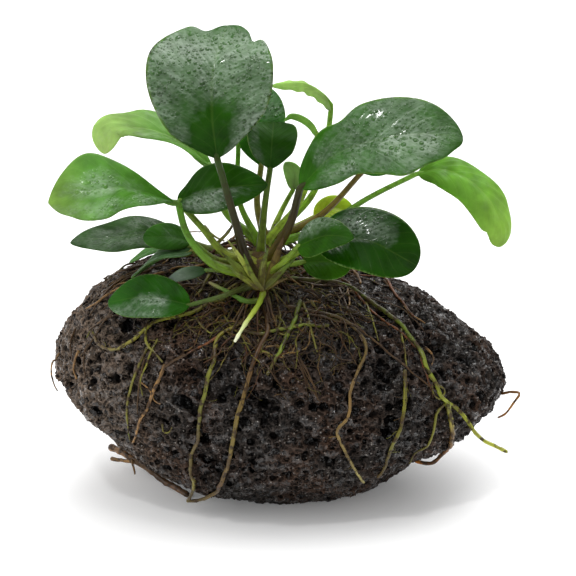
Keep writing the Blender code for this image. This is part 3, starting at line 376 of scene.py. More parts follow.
# Thinner roots, followed one by one in the picture: radius, colours, and points of a picture PICTURE_SIZE
# wide and high, each across from the left, down from the top, and where it hangs free its place back.
OLIVE = ("#565420", "#727028", "#565224")
TAN = ("#5c4628", "#947044", "#785a36")
BROWN = ("#362817", "#503c25", "#42301c")
RUSTY = ("#4c2e18", "#6c4022", "#50301c")
THIN_ROOTS = (
    (0.40, BROWN, ((305, 315), (320, 317), (335, 322), (355, 327), (365, 335), (375, 342), (390, 355),
                   (405, 368), (420, 380), (432, 390))),
    (0.34, OLIVE, ((401, 330), (402, 342), (404, 350), (406, 368))),
    (0.32, TAN, ((60, 354), (57, 358, -8), (52.6, 362, -13), (51.4, 368, -15), (52.2, 378, -14),
                 (57, 391, -10))),
    (0.42, RUSTY, ((217, 338), (213, 341), (200, 347), (185, 356))),
    (0.42, BROWN, ((185, 356), (174, 361), (165, 368))),
    (0.52, TAN, ((165, 365), (160, 380), (153, 395), (147, 408), (141, 420), (137, 432), (134, 441))),
    (0.42, OLIVE, ((150, 322), (146, 335), (148, 345), (155, 352), (163, 362))),
    (0.40, OLIVE, ((150, 345), (140, 365), (132, 385), (128, 405), (129, 425), (131, 440))),
    (0.30, OLIVE, ((158, 340), (148, 362), (141, 382), (143, 395))),
    (0.28, BROWN, ((145, 360), (139, 385), (138, 400), (138, 414))),
    (0.26, TAN, ((141, 382), (150, 390), (156, 402), (160, 404))),
    (0.30, OLIVE, ((163, 424), (164, 431), (168, 432), (172, 427))),
    (0.55, BROWN, ((208, 264, -6), (214, 252, -4), (226, 243, -3), (240, 240, -3), (254, 246, -4),
                   (263, 258, -6))),
    (0.50, RUSTY, ((204, 262, -8), (216, 250, -6), (230, 246, -5), (246, 244, -5), (258, 252, -7))),
    (0.45, BROWN, ((212, 266, -2), (222, 250, 0), (234, 237, 0), (247, 238, 0), (258, 250, -2))),
    (0.50, TAN, ((222, 262, -4), (228, 246, -1), (238, 234, 0), (247, 231, 0))),
    (0.52, OLIVE, ((210, 252, -5), (217, 243, -4), (225, 235, -3), (233, 226, -3))),
    (0.45, BROWN, ((210, 268, -7), (222, 256, -7), (238, 250, -7), (252, 250, -8), (262, 256, -9))),
    (0.50, BROWN, ((207, 266, -3), (218, 256, -2), (232, 250, -1), (248, 248, -1), (260, 254, -3))),
    (0.42, OLIVE, ((303, 305), (308, 318), (312, 335), (317, 352))),
    (0.36, OLIVE, ((278, 308), (280, 318), (277, 330))),
    (0.50, TAN, ((345, 265), (353, 272), (360, 285))),
    (0.52, RUSTY, ((365, 273), (380, 277), (388, 285), (395, 295), (405, 308), (412, 318))),
    (0.32, TAN, ((384, 282), (394, 293), (402, 304), (412, 316), (424, 324))),
    (0.58, OLIVE, ((212, 272), (205, 285), (197, 297))),
    (0.42, BROWN, ((300, 283), (315, 287), (330, 287), (345, 287))),
    (0.34, TAN, ((347, 290), (349, 300), (347, 315))),
    (0.34, OLIVE, ((366, 303), (371, 318), (376, 334), (378, 341))),
    (0.36, BROWN, ((340, 290), (347, 308), (356, 328), (362, 342))),
    (0.34, TAN, ((302, 305), (312, 302), (319, 303), (322, 307))),
    (0.28, BROWN, ((298, 355), (306, 370), (313, 385), (318, 399))),
    (0.24, BROWN, ((290, 345), (300, 365), (308, 384), (320, 402))),
    (0.44, BROWN, ((165, 262), (148, 266), (130, 270), (105, 280))),
    (0.42, TAN, ((140, 283), (120, 290), (100, 302), (85, 312))),
    (0.40, BROWN, ((150, 272), (125, 279), (108, 292), (97, 306))),
    (0.36, BROWN, ((113, 315), (102, 322), (90, 330))),
    (0.40, TAN, ((80, 352), (76, 362), (75, 370), (78, 378))),
    (0.34, OLIVE, ((97, 340), (91, 332), (88, 338))),
    (0.34, TAN, ((425, 348), (432, 356), (431, 366))),
    (0.36, OLIVE, ((428, 376), (436, 384), (444, 392), (441, 399), (433, 394), (431, 384))),
    (0.40, OLIVE, ((444, 404), (437, 412), (434, 424), (431, 436), (425, 446), (415, 452), (409, 461))),
    (0.36, OLIVE, ((195, 318), (203, 328), (213, 334), (220, 331))),
    (0.32, OLIVE, ((186, 322), (191, 330), (197, 335))),
    (0.40, OLIVE, ((268, 354), (262, 352), (254, 356))),
    (0.28, TAN, ((276, 356), (283, 358), (290, 357))),
    (0.30, BROWN, ((266, 313), (280, 313), (296, 312))),
    (0.34, BROWN, ((246, 318), (252, 312), (266, 309))),
    (0.34, OLIVE, ((258, 326), (262, 318), (272, 320), (280, 316))),
    (0.40, OLIVE, ((205, 226, -4), (209, 231, -6), (215, 236, -8), (224, 241, -10))),
    (0.38, OLIVE, ((232, 226, -2), (228, 233, -4), (222, 239, -6), (218, 244, -6))),
    (0.40, OLIVE, ((275, 226, 0), (278, 233, -2), (272, 239, -4), (276, 246, -4))),
    (0.30, TAN, ((143, 238, 4), (158, 232, 2), (176, 231, 0), (200, 232, -2))),
    (0.30, BROWN, ((170, 266), (150, 269), (132, 275), (116, 284))),
    (0.34, TAN, ((160, 280), (138, 286), (118, 297), (104, 310))),
    (0.28, BROWN, ((172, 272), (152, 279), (134, 287), (116, 299))),
    (0.30, BROWN, ((136, 276), (122, 283), (110, 293), (99, 304), (90, 317))),
    (0.26, TAN, ((140, 270), (124, 277), (110, 286))),
    (0.30, BROWN, ((76, 330), (71, 345), (73, 360))),
    (0.28, BROWN, ((88, 345), (84, 360), (86, 378))),
    (0.40, TAN, ((132, 460, -1), (133, 466, -1), (134.5, 474, -1))),
    (0.62, TAN, ((113, 459, 4), (123, 461, 2), (134, 463, 0), (146, 470, -2))),
    (0.32, BROWN, ((134, 457, 1), (150, 463, -1), (171, 468, -3))),
    (0.30, OLIVE, ((258, 341), (263, 351), (268, 356), (280, 354))),
    (0.26, OLIVE, ((283, 356), (285, 364), (290, 370))),
    (0.24, BROWN, ((300, 360), (306, 374), (316, 388))),
    (0.26, OLIVE, ((312, 302), (318, 312), (324, 316), (334, 316), (340, 314))),
)

# Thin roots that the picture doesn't show, on the stone's back. Every third one is long.
BACK_COUNT = 60

# The loose tangle: how many fine roots, and the least and most of their radius and length.
TANGLE_COUNT = 230
TANGLE_RADIUS = (0.1, 0.3)
TANGLE_LENGTH = (5.0, 19.0)
TANGLE_COLOURS = (("#1e150c", "#33240f"), ("#281c10", "#3c2c16"), ("#54401e", "#7a5f34"),
                  ("#3f3c12", "#606018"), ("#38200f", "#54331a"), ("#150e08", "#281c10"),
                  ("#4a4418", "#6c6428"))
# Hairs as fine as they still show in the render, coarser than the real ones.
HAIR_COUNT = 520
HAIR_RADIUS = (0.06, 0.12)
HAIR_LENGTH = (2.0, 6.0)
# Short thick fibres that drop from the creeping stem to the stone.
FIBRE_COUNT = 110
FIBRE_RADIUS = (0.18, 0.42)
FIBRE_REACH = (3.0, 12.0)

# What is left of old leaf bases: half width, colours, and points of the picture with their places back.
SHEATHS = (
    (0.75, ("#4a3c16", "#6c7628", "#a8b060"),
     ((259, 287, -24.5), (251, 275, -25.5), (239, 256, -25), (227, 239, -23.5))),
    (1.15, ("#5a5a1c", "#54481f", "#4a3026"),
     ((266, 287, -22), (273, 268, -20.5), (279, 250, -19), (284, 236, -17.5))),
    (1.1, ("#443814", "#56621c", "#42661c"),
     ((256, 287, -24), (246, 276, -24), (234, 264, -23), (222, 253, -22))),
    (0.9, ("#3c3212", "#4c5a1a", "#4a7020"),
     ((265, 288, -24), (276, 277, -23), (286, 267, -22), (296, 257, -21.5))),
    (0.9, ("#3a2e12", "#50541a", "#48601c"),
     ((261, 288, -25), (262, 276, -24), (264, 262, -22), (268, 248, -19))),
    (0.7, ("#4a3c1a", "#56601e", "#4a6a20"),
     ((262, 290, -25), (254, 279, -26), (248, 266, -26), (244, 254, -25))),
    (0.65, ("#4c401a", "#5c661e", "#4c6c22"),
     ((257, 288, -25.5), (248, 281, -26), (238, 275, -25.5), (230, 267, -24))),
    (0.55, ("#4a3a20", "#665a30", "#6a5c34"),
     ((265, 289, -23), (272, 285, -22), (280, 281, -21), (288, 278, -20))),
)


def linear(code):
    """The linear colour of an sRGB hex value."""
    parts = [int(code[i:i + 2], 16) / 255 for i in (1, 3, 5)]
    return tuple(part / 12.92 if part <= 0.04045 else ((part + 0.055) / 1.055) ** 2.4 for part in parts)


def paint(code):
    """The linear colour of an sRGB hex value, opaque, as a colour socket takes it."""
    return (*linear(code), 1.0)


def blend(stops, share):
    """The linear colour at a share of the way through evenly spaced hex values."""
    place = min(max(share, 0.0), 1.0) * (len(stops) - 1)
    k = min(int(place), len(stops) - 2)
    low, high = linear(stops[k]), linear(stops[k + 1])
    return tuple(a + (b - a) * (place - k) for a, b in zip(low, high))


def seen(across, up, back):
    """The point that shows this far across and up from the view's middle, and lies this far back."""
    on_plane = VIEW_AIM + VIEW_RIGHT * across + VIEW_UP * up
    sight = on_plane - EYE
    return EYE + sight * ((back - EYE.y) / sight.y)


def meets(tree, across, up):
    """Where the sight line at this place in the front view meets a surface."""
    on_plane = VIEW_AIM + VIEW_RIGHT * across + VIEW_UP * up
    found = tree.ray_cast(EYE, (on_plane - EYE).normalized())
    if found[0] is None:
        raise ValueError(f"nothing is seen at {across}, {up}")
    return found[0]


def through(points, count, start=None):
    """count points, evenly spaced, on a smooth curve through the given ones."""
    gaps = [max((b - a).length, 1e-6) for a, b in zip(points, points[1:])]
    ways = [(b - a) / gap for a, b, gap in zip(points, points[1:], gaps)]
    turns = [start or ways[0]]
    for k in range(1, len(ways)):
        turns.append((ways[k] * gaps[k - 1] + ways[k - 1] * gaps[k]) / (gaps[k] + gaps[k - 1]))
    turns.append(ways[-1])
    fine = []
    for a, b, gap, out, into in zip(points, points[1:], gaps, turns, turns[1:]):
        for step in range(CURVE_STEPS):
            t = step / CURVE_STEPS
            fine.append(a * (2 * t ** 3 - 3 * t ** 2 + 1) + out * gap * (t ** 3 - 2 * t ** 2 + t)
                        + b * (3 * t ** 2 - 2 * t ** 3) + into * gap * (t ** 3 - t ** 2))
    fine.append(points[-1].copy())
    return evenly(fine, count)


def evenly(fine, count):
    """count points spaced evenly along a line of many points."""
    reached = [0.0]
    for a, b in zip(fine, fine[1:]):
        reached.append(reached[-1] + (b - a).length)
    made, k = [], 0
    for i in range(count):
        wanted = reached[-1] * i / (count - 1)
        while k < len(fine) - 2 and reached[k + 1] < wanted:
            k += 1
        share = (wanted - reached[k]) / max(reached[k + 1] - reached[k], 1e-9)
        made.append(fine[k].lerp(fine[k + 1], min(1.0, share)))
    return made


def between(stations, u, column):
    """One column of a table, read smoothly at u, its first column."""
    k = 0
    while k < len(stations) - 2 and stations[k + 1][0] < u:
        k += 1
    low, high = stations[k], stations[k + 1]
    t = (u - low[0]) / (high[0] - low[0])
    before = stations[max(k - 1, 0)]
    after = stations[min(k + 2, len(stations) - 1)]
    span = high[0] - low[0]
    slope_in = (high[column] - before[column]) / max(high[0] - before[0], 1e-9) * span
    slope_out = (after[column] - low[column]) / max(after[0] - low[0], 1e-9) * span
    return ((2 * t ** 3 - 3 * t ** 2 + 1) * low[column] + (t ** 3 - 2 * t ** 2 + t) * slope_in
            + (-2 * t ** 3 + 3 * t ** 2) * high[column] + (t ** 3 - t ** 2) * slope_out)


# Materials.

def feed(tree, node, feeds):
    """Gives each named socket of a node a value or another node's output."""
    for socket, value in dict(feeds).items():
        if isinstance(value, bpy.types.Node):
            value = value.outputs[0]
        if isinstance(value, bpy.types.NodeSocket):
            tree.links.new(value, node.inputs[socket])
        else:
            node.inputs[socket].default_value = value


def add(tree, kind, feeds=(), **settings):
    """A shader node of a kind, with its settings; feeds gives each socket a value or a node's output."""
    made = tree.nodes.new("ShaderNode" + kind)
    for key, value in settings.items():
        setattr(made, key, value)
    feed(tree, made, feeds)
    return made


def new_finish(name, values=()):
    """A material with its Principled shader, whose own sockets take the given values."""
    material = bpy.data.materials.new(name)
    material.use_nodes = True
    tree = material.node_tree
    shader = tree.nodes["Principled BSDF"]
    feed(tree, shader, values)
    return material, tree, shader


def spaced(size):
    """A pattern's scale from the size of its cells in millimetres, to the nearest ten cells to a metre."""
    return round(1 / (size * METRES), -1)


def wet_scoria():
    """Basaltic scoria, the froth of a lava flow, wet: thin walls between gas bubbles, brown to near black,
    with light painted in: the left end painted paler and warmer as if lit from the left, pale dots painted
    in as glints of water, the rims painted lighter as highlights, and the insides of the bubbles and pores
    painted black as shade."""
    material, tree, shader = new_finish("wet scoria", {"Coat Roughness": 0.07, "Specular IOR Level": 0.05})
    place = add(tree, "TexCoord").outputs["Object"]
    pore = add(tree, "Attribute", attribute_name="pore").outputs["Fac"]
    # Patches of rust about 14 mm across, grains about 1 mm across.
    patches = add(tree, "TexNoise", {"Vector": place, "Scale": spaced(14.3), "Detail": 3.0})
    rusty = add(tree, "MapRange", {"Value": patches, "From Min": 0.45, "From Max": 0.66})
    grains = add(tree, "TexNoise", {"Vector": place, "Scale": spaced(1.11), "Detail": 3.0})
    # Bubbles in cells of two sizes, pulled out of round by up to half a millimetre. At each point, its
    # distance from the bubble's middle as a share of the bubble's radius.
    pull = add(tree, "TexNoise", {"Vector": place, "Scale": spaced(2.38), "Detail": 2.0})
    pull = add(tree, "VectorMath", {0: pull.outputs["Color"], "Scale": 0.0009}, operation="SCALE")
    bent = add(tree, "VectorMath", {0: place, 1: pull}, operation="ADD")
    walls, rings = [], []
    for spacing in (2.33, 1.16):
        cell = add(tree, "TexVoronoi", {"Vector": bent, "Scale": spaced(spacing)})
        size = add(tree, "SeparateColor", {0: cell.outputs["Color"]})
        size = add(tree, "Math", {0: size, 1: 0.24, 2: 0.38}, operation="MULTIPLY_ADD")
        share = add(tree, "Math", {0: cell, 1: size}, operation="DIVIDE")
        walls.append(add(tree, "MapRange", {"Value": share, "From Min": 0.35, "From Max": 1.0},
                         interpolation_type="SMOOTHSTEP"))
        rings.append(add(tree, "Math", {0: share, 1: 1.0, 2: 0.18}, operation="COMPARE"))
    small = add(tree, "MapRange", {"Value": walls[1], "To Min": 0.4})
    wall = add(tree, "Math", {0: walls[0], 1: small}, operation="MULTIPLY")
    ring = add(tree, "Math", {0: rings[0], 1: rings[1]}, operation="ADD")
    ring = add(tree, "Math", {0: ring, 1: grains}, operation="MULTIPLY")
    stuff = add(tree, "Mix", {0: rusty, 6: paint("#191614"), 7: paint("#241a14")},
                data_type="RGBA").outputs[2]
    # Painted light: the left end is painted paler and warmer, as if lit more by the lamp at the left.
    side = add(tree, "SeparateXYZ", {0: place}).outputs["X"]
    warm = add(tree, "MapRange", {"Value": side, "From Min": -0.022, "From Max": -0.048, "To Max": 0.6})
    stuff = add(tree, "Mix", {0: warm, 6: stuff, 7: paint("#433930")}, data_type="RGBA").outputs[2]
    # Painted shade: the inside of each bubble is painted near-black, as the shade in a small hollow.
    rock = add(tree, "Mix", {0: wall, 6: paint("#050404"), 7: stuff}, data_type="RGBA").outputs[2]
    lit = add(tree, "MapRange", {"Value": grains, "From Min": 0.3, "From Max": 0.7, "To Min": 0.4,
                                 "To Max": 1.6})
    rock = add(tree, "VectorMath", {0: rock, "Scale": lit.outputs[0]}, operation="SCALE")
    # Painted shade: pores and hollows are painted near-black, the deeper the darker, as the shade inside
    # them.
    black = add(tree, "MapRange", {"Value": pore, "From Min": 0.2, "From Max": 0.75})
    rock = add(tree, "Mix", {0: black, 6: rock, 7: paint("#050404")}, data_type="RGBA").outputs[2]
    # Painted highlights: the bubbles' rims and the rims of the pores are painted lighter, as wet edges
    # catching the light, though not deep in a pore.
    painted_rim_highlight = add(tree, "MapRange", {"Value": pore, "From Min": -0.02, "From Max": -0.3, "To Max": 0.4})
    painted_rim_highlight = add(tree, "Math", {0: ring, 1: 0.9, 2: painted_rim_highlight}, operation="MULTIPLY_ADD", use_clamp=True)
    clear = add(tree, "MapRange", {"Value": pore, "From Min": 0.25, "From Max": 0.5, "To Min": 1.0,
                                   "To Max": 0.0})
    painted_rim_highlight = add(tree, "Math", {0: painted_rim_highlight, 1: clear}, operation="MULTIPLY")
    paler = add(tree, "VectorMath", {0: stuff, "Scale": 4.6}, operation="SCALE")
    rock = add(tree, "Mix", {0: painted_rim_highlight, 6: rock, 7: paler}, data_type="RGBA").outputs[2]
    # Painted glints: pale dots up to half a millimetre across, in clusters about 8 mm across, stand in for
    # light glinting on water.
    glint_cells = add(tree, "TexVoronoi", {"Vector": place, "Scale": spaced(1.05)})
    chosen = add(tree, "SeparateColor", {0: glint_cells.outputs["Color"]})
    cluster = add(tree, "TexNoise", {"Vector": place, "Scale": spaced(8.3), "Detail": 2.0})
    chosen = add(tree, "Math", {0: chosen, 1: cluster}, operation="ADD")
    chosen = add(tree, "Math", {0: chosen, 1: 1.12}, operation="GREATER_THAN")
    painted_glint = add(tree, "MapRange", {"Value": glint_cells.outputs["Distance"], "From Min": 0.26, "From Max": 0.14,
                                   "To Max": 0.5})
    painted_glint = add(tree, "Math", {0: painted_glint, 1: chosen}, operation="MULTIPLY")
    painted_glint = add(tree, "Math", {0: painted_glint, 1: clear}, operation="MULTIPLY")
    rock = add(tree, "Mix", {0: painted_glint, 6: rock, 7: paint("#9c958e")}, data_type="RGBA").outputs[2]
    film = add(tree, "TexNoise", {"Vector": place, "Scale": spaced(3.85), "Detail": 2.0})
    gloss = add(tree, "MapRange", {"Value": film, "From Min": 0.35, "From Max": 0.65, "To Min": 0.2,
                                   "To Max": 0.6})
    # Water stands on it only here and there, in spots about 2 mm across.
    standing = add(tree, "TexNoise", {"Vector": place, "Scale": spaced(2.08), "Detail": 3.0})
    water = add(tree, "MapRange", {"Value": standing, "From Min": 0.5, "From Max": 0.6, "To Max": 0.85})
    height = add(tree, "Math", {0: walls[1], 1: 0.45, 2: walls[0]}, operation="MULTIPLY_ADD")
    height = add(tree, "Math", {0: grains, 1: 0.5, 2: height}, operation="MULTIPLY_ADD")
    bump = add(tree, "Bump", {"Height": height, "Strength": 1.0, "Distance": 0.0009})
    feed(tree, shader, {"Base Color": rock, "Roughness": gloss, "Coat Weight": water, "Normal": bump,
                        "Coat Normal": bump})
    return material


def leaf_skin(name, gloss, glow, wet, veined):
    """A leathery leaf blade: waxy and smooth, its veins just to be seen, beads of water left on its
    upper face and a painted grey sheen where it is wet. gloss is its roughness, glow how much light passes
    through, wet how far it is beaded and how strong its painted sheen is, and veined how far its veins show."""
    material, tree, shader = new_finish(name, {
        "Subsurface Weight": glow, "Subsurface Scale": 0.0012, "Subsurface Radius": (0.6, 1.0, 0.25),
        "Coat Roughness": 0.12, "Specular IOR Level": 0.05})
    ways = add(tree, "TexCoord").outputs
    chart, place = ways["UV"], ways["Object"]
    tint = add(tree, "Attribute", attribute_name="tint").outputs["Color"]
    film_share = add(tree, "Attribute", attribute_name="film").outputs["Fac"]
    parts = add(tree, "SeparateXYZ", {0: chart})
    centred = add(tree, "Math", {0: parts.outputs[0], 1: 0.5}, operation="SUBTRACT")
    lane = add(tree, "Math", {0: centred}, operation="ABSOLUTE")
    lane = add(tree, "Math", {0: lane, 1: 2.0}, operation="MULTIPLY")
    # Side veins leave the midrib, SIDE_VEINS to a side, and sweep towards the tip.
    sweep = add(tree, "Math", {0: lane, 1: VEIN_BEND}, operation="POWER")
    sweep = add(tree, "Math", {0: sweep, 1: -2 * VEIN_SWEEP}, operation="MULTIPLY")
    count = add(tree, "Math", {0: parts.outputs[1], 1: 2 * SIDE_VEINS, 2: sweep}, operation="MULTIPLY_ADD")
    veins = add(tree, "Math", {0: count, 1: 1.0}, operation="PINGPONG")
    vein = add(tree, "MapRange", {"Value": veins, "From Min": 0.0, "From Max": 0.22, "To Min": 1.0,
                                  "To Max": 0.0}, interpolation_type="SMOOTHSTEP")
    rib = add(tree, "MapRange", {"Value": lane, "From Min": 0.0, "From Max": 0.045, "To Min": 1.0,
                                 "To Max": 0.0}, interpolation_type="SMOOTHSTEP")
    rim = add(tree, "MapRange", {"Value": lane, "From Min": 0.955, "From Max": 0.99})
    lines = add(tree, "Math", {0: vein, 1: 0.13 * veined}, operation="MULTIPLY")
    lines = add(tree, "Math", {0: rib, 1: 0.4 * veined, 2: lines}, operation="MULTIPLY_ADD")
    lines = add(tree, "Math", {0: rim, 1: 0.4, 2: lines}, operation="MULTIPLY_ADD")
    # Cloudy patches.
    clouds = add(tree, "TexNoise", {"Vector": place, "Scale": spaced(5.0), "Detail": 4.0})
    shade = add(tree, "MapRange", {"Value": clouds, "From Min": 0.3, "From Max": 0.7, "To Min": 0.58,
                                   "To Max": 1.12})
    skin = add(tree, "VectorMath", {0: tint, "Scale": shade.outputs[0]}, operation="SCALE")
    pale = add(tree, "Mix", {0: 0.35, 6: skin.outputs[0], 7: paint("#9ab85a")}, data_type="RGBA").outputs[2]
    skin = add(tree, "Mix", {0: lines, 6: skin.outputs[0], 7: pale}, data_type="RGBA").outputs[2]
    # Beads of water up to 1.4 mm and 0.9 mm across, in the film's patches, whose edges are ragged.
    frayed = add(tree, "TexNoise", {"Vector": place, "Scale": spaced(6.25), "Detail": 4.0, "Roughness": 0.6})
    wetted = add(tree, "Math", {0: film_share, 1: frayed}, operation="ADD")
    wetted = add(tree, "MapRange", {"Value": wetted, "From Min": 0.75, "From Max": 1.3})
    beads = []
    for spacing, reach in ((1.43, 0.34), (0.83, 0.36)):
        scale = spaced(spacing)
        cell = add(tree, "TexVoronoi", {"Vector": place, "Scale": scale})
        size = add(tree, "SeparateColor", {0: cell.outputs["Color"]})
        size = add(tree, "Math", {0: size, 1: reach, 2: 0.16}, operation="MULTIPLY_ADD")
        dome = add(tree, "Math", {0: size, 1: cell.outputs["Distance"]}, operation="SUBTRACT",
                   use_clamp=True)
        dome = add(tree, "Math", {0: dome, 1: 0.5}, operation="POWER")
        beads.append(add(tree, "Math", {0: dome, 1: spaced(1.43) / scale}, operation="MULTIPLY"))
    bead = add(tree, "Math", {0: beads[0], 1: beads[1]}, operation="MAXIMUM")
    bead = add(tree, "Math", {0: bead, 1: wetted}, operation="MULTIPLY")
    # Painted sheen: where the blade is wet, its colour is mixed towards grey, standing in for soft light
    # mirrored by the finest drops, with clear skin between them and in the larger drops.
    lying = add(tree, "Mapping", {0: place, "Scale": (0.55, 1.0, 1.3)})
    mist = add(tree, "TexNoise", {"Vector": lying, "Scale": spaced(0.87), "Detail": 2.0})
    painted_sheen = add(tree, "MapRange", {"Value": mist, "From Min": 0.4, "From Max": 0.6, "To Min": 0.14,
                                  "To Max": 0.33 * wet})
    painted_sheen = add(tree, "Math", {0: painted_sheen, 1: wetted}, operation="MULTIPLY")
    # The water has run out along the side veins, in streaks about 1 mm wide, and the painted sheen with it.
    half = add(tree, "Math", {0: centred}, operation="SIGN")
    along_veins = add(tree, "CombineXYZ", {0: count, 1: lane, 2: half})
    runs = add(tree, "TexNoise", {"Vector": along_veins, "Scale": 2.2, "Detail": 3.0})
    run = add(tree, "MapRange", {"Value": runs, "From Min": 0.35, "From Max": 0.65, "To Min": 0.5,
                                 "To Max": 1.35})
    painted_sheen = add(tree, "Math", {0: painted_sheen, 1: run}, operation="MULTIPLY")
    beaded = add(tree, "Math", {0: bead, 1: 3.2}, operation="MULTIPLY", use_clamp=True)
    clear = add(tree, "Math", {0: 1.0, 1: beaded}, operation="SUBTRACT")
    painted_sheen = add(tree, "Math", {0: painted_sheen, 1: clear}, operation="MULTIPLY")
    # The painted sheen: grey mixed into the blade's colour.
    skin = add(tree, "Mix", {0: painted_sheen, 6: skin, 7: paint("#9aac98")}, data_type="RGBA").outputs[2]
    sheen = add(tree, "Math", {0: wetted, 1: 0.9}, operation="MULTIPLY")
    film = add(tree, "TexNoise", {"Vector": place, "Scale": spaced(2.38), "Detail": 2.0})
    rough = add(tree, "MapRange", {"Value": film, "From Min": 0.3, "From Max": 0.7, "To Min": gloss * 0.75,
                                   "To Max": gloss * 1.35})
    rough = add(tree, "Mix", {0: beaded, 2: rough, 3: 0.08})
    relief = add(tree, "Math", {0: vein, 1: -0.05}, operation="MULTIPLY")
    relief = add(tree, "Math", {0: bead, 1: wet, 2: relief}, operation="MULTIPLY_ADD")
    bump = add(tree, "Bump", {"Height": relief, "Strength": 1.0, "Distance": 0.0006})
    feed(tree, shader, {"Base Color": skin, "Roughness": rough, "Coat Weight": sheen, "Normal": bump,
                        "Coat Normal": bump})
    return material


def stem_skin(name, gloss, streak, spots, aged=0.0, wet=0.1):
    """A smooth living stalk or root: fine streaks run along it, with brown flecks where it has aged.
    aged is how far whole lengths of it have turned brown, and wet how strong its film of water is."""
    material, tree, shader = new_finish(name, {
        "Subsurface Weight": 0.04, "Subsurface Scale": 0.0005, "Subsurface Radius": (0.7, 1.0, 0.3),
        "Coat Weight": wet, "Coat Roughness": 0.15, "Specular IOR Level": 0.1})
    ways = add(tree, "TexCoord").outputs
    chart, place = ways["UV"], ways["Object"]
    tint = add(tree, "Attribute", attribute_name="tint").outputs["Color"]
    # Streaks: nine round it, drawn out along its length.
    drawn = add(tree, "Mapping", {0: chart, "Scale": (9.0, 1.6, 1.0)})
    streaks = add(tree, "TexNoise", {"Vector": drawn, "Scale": 1.0, "Detail": 3.0})
    lit = add(tree, "MapRange", {"Value": streaks, "From Min": 0.3, "From Max": 0.7, "To Min": 1.0 - streak,
                                 "To Max": 1.0 + streak})
    skin = add(tree, "VectorMath", {0: tint, "Scale": lit.outputs[0]}, operation="SCALE")
    # Brown flecks.
    flecks = add(tree, "TexNoise", {"Vector": place, "Scale": spaced(1.54), "Detail": 3.0})
    fleck = add(tree, "MapRange", {"Value": flecks, "From Min": 0.52, "From Max": 0.6, "To Max": spots})
    skin = add(tree, "Mix", {0: fleck, 6: skin.outputs[0], 7: paint("#2a1c0e")}, data_type="RGBA").outputs[2]
    # Lengths where the skin has died off brown.
    lengths = add(tree, "TexNoise", {"Vector": place, "Scale": spaced(6.25), "Detail": 3.0})
    dead = add(tree, "MapRange", {"Value": lengths, "From Min": 0.46, "From Max": 0.62, "To Max": aged})
    skin = add(tree, "Mix", {0: dead, 6: skin, 7: paint("#3c2a18")}, data_type="RGBA").outputs[2]
    rough = add(tree, "MapRange", {"Value": flecks, "From Min": 0.3, "From Max": 0.7, "To Min": gloss * 0.8,
                                   "To Max": gloss * 1.3})
    height = add(tree, "Math", {0: streaks, 1: flecks}, operation="ADD")
    bump = add(tree, "Bump", {"Height": height, "Strength": 0.8, "Distance": 0.0002})
    feed(tree, shader, {"Base Color": skin, "Roughness": rough, "Normal": bump, "Coat Normal": bump})
    return material


def damp_humus():
    """Rotted root and silt: crumbs and short fibres, dark brown and damp, shiny here and there."""
    material, tree, shader = new_finish("damp humus")
    place = add(tree, "TexCoord").outputs["Object"]
    crumbs = add(tree, "TexNoise", {"Vector": place, "Scale": spaced(1.54), "Detail": 5.0, "Roughness": 0.7})
    share = add(tree, "MapRange", {"Value": crumbs, "From Min": 0.35, "From Max": 0.7})
    earth = add(tree, "Mix", {0: share, 6: paint("#120d09"), 7: paint("#3a2a18")},
                data_type="RGBA").outputs[2]
    rough = add(tree, "MapRange", {"Value": crumbs, "To Min": 0.25, "To Max": 0.75})
    bump = add(tree, "Bump", {"Height": crumbs, "Strength": 1.0, "Distance": 0.0006})
    feed(tree, shader, {"Base Color": earth, "Roughness": rough, "Normal": bump})
    return material


# Modelling.

def in_scene(name, data):
    """A new object in the scene for a mesh, a light or a camera."""
    made = bpy.data.objects.new(name, data)
    bpy.context.scene.collection.objects.link(made)
    return made


def ragged(point, layers):
    """How far a point is off through layers of noise, each given by its size and its height."""
    return sum(height * noise.noise(point / size) for size, height in layers)


def ground_below(skin, point):
    """The stone's face straight below a point, or None beside the stone."""
    return skin.ray_cast(point, DOWN)[0]


def new_skin():
    """An empty mesh with room for its own map, its colours and how wet it is."""
    bm = bmesh.new()
    bm.loops.layers.uv.new("UVMap")
    bm.verts.layers.float_color.new("tint")
    bm.verts.layers.float.new("film")
    return bm


def lay(bm, columns, rows, place, tint, chart=None, film=None):
    """A grid bent to place(x, y), where x and y run from 0 to 1, coloured by tint(x, y) and wet by film."""
    uv = bm.loops.layers.uv["UVMap"]
    colour = bm.verts.layers.float_color["tint"]
    wetness = bm.verts.layers.float["film"]
    made = bmesh.ops.create_grid(bm, x_segments=columns, y_segments=rows, size=0.5)["verts"]
    spots = {vert: (min(max(vert.co.x + 0.5, 0.0), 1.0), min(max(vert.co.y + 0.5, 0.0), 1.0))
             for vert in made}
    for face in {face: None for vert in made for face in vert.link_faces}:
        for loop in face.loops:
            loop[uv].uv = chart(*spots[loop.vert]) if chart else spots[loop.vert]
    for vert, (x, y) in spots.items():
        vert[colour] = (*tint(x, y), 1.0)
        vert[wetness] = film(x, y) if film else 0.0
        vert.co = place(x, y)
    return made


def frames_along(path):
    """For each point of a path its tangent and two directions square to it, without a sudden turn."""
    frames, side = [], None
    for i, point in enumerate(path):
        ahead = path[min(i + 1, len(path) - 1)] - path[max(i - 1, 0)]
        ahead.normalize()
        if side is None:
            guide = Vector((0, 0, 1)) if abs(ahead.z) < 0.8 else Vector((1, 0, 0))
            side = ahead.cross(guide).normalized()
        side = (side - ahead * side.dot(ahead)).normalized()
        frames.append((point, ahead, side, side.cross(ahead)))
    return frames


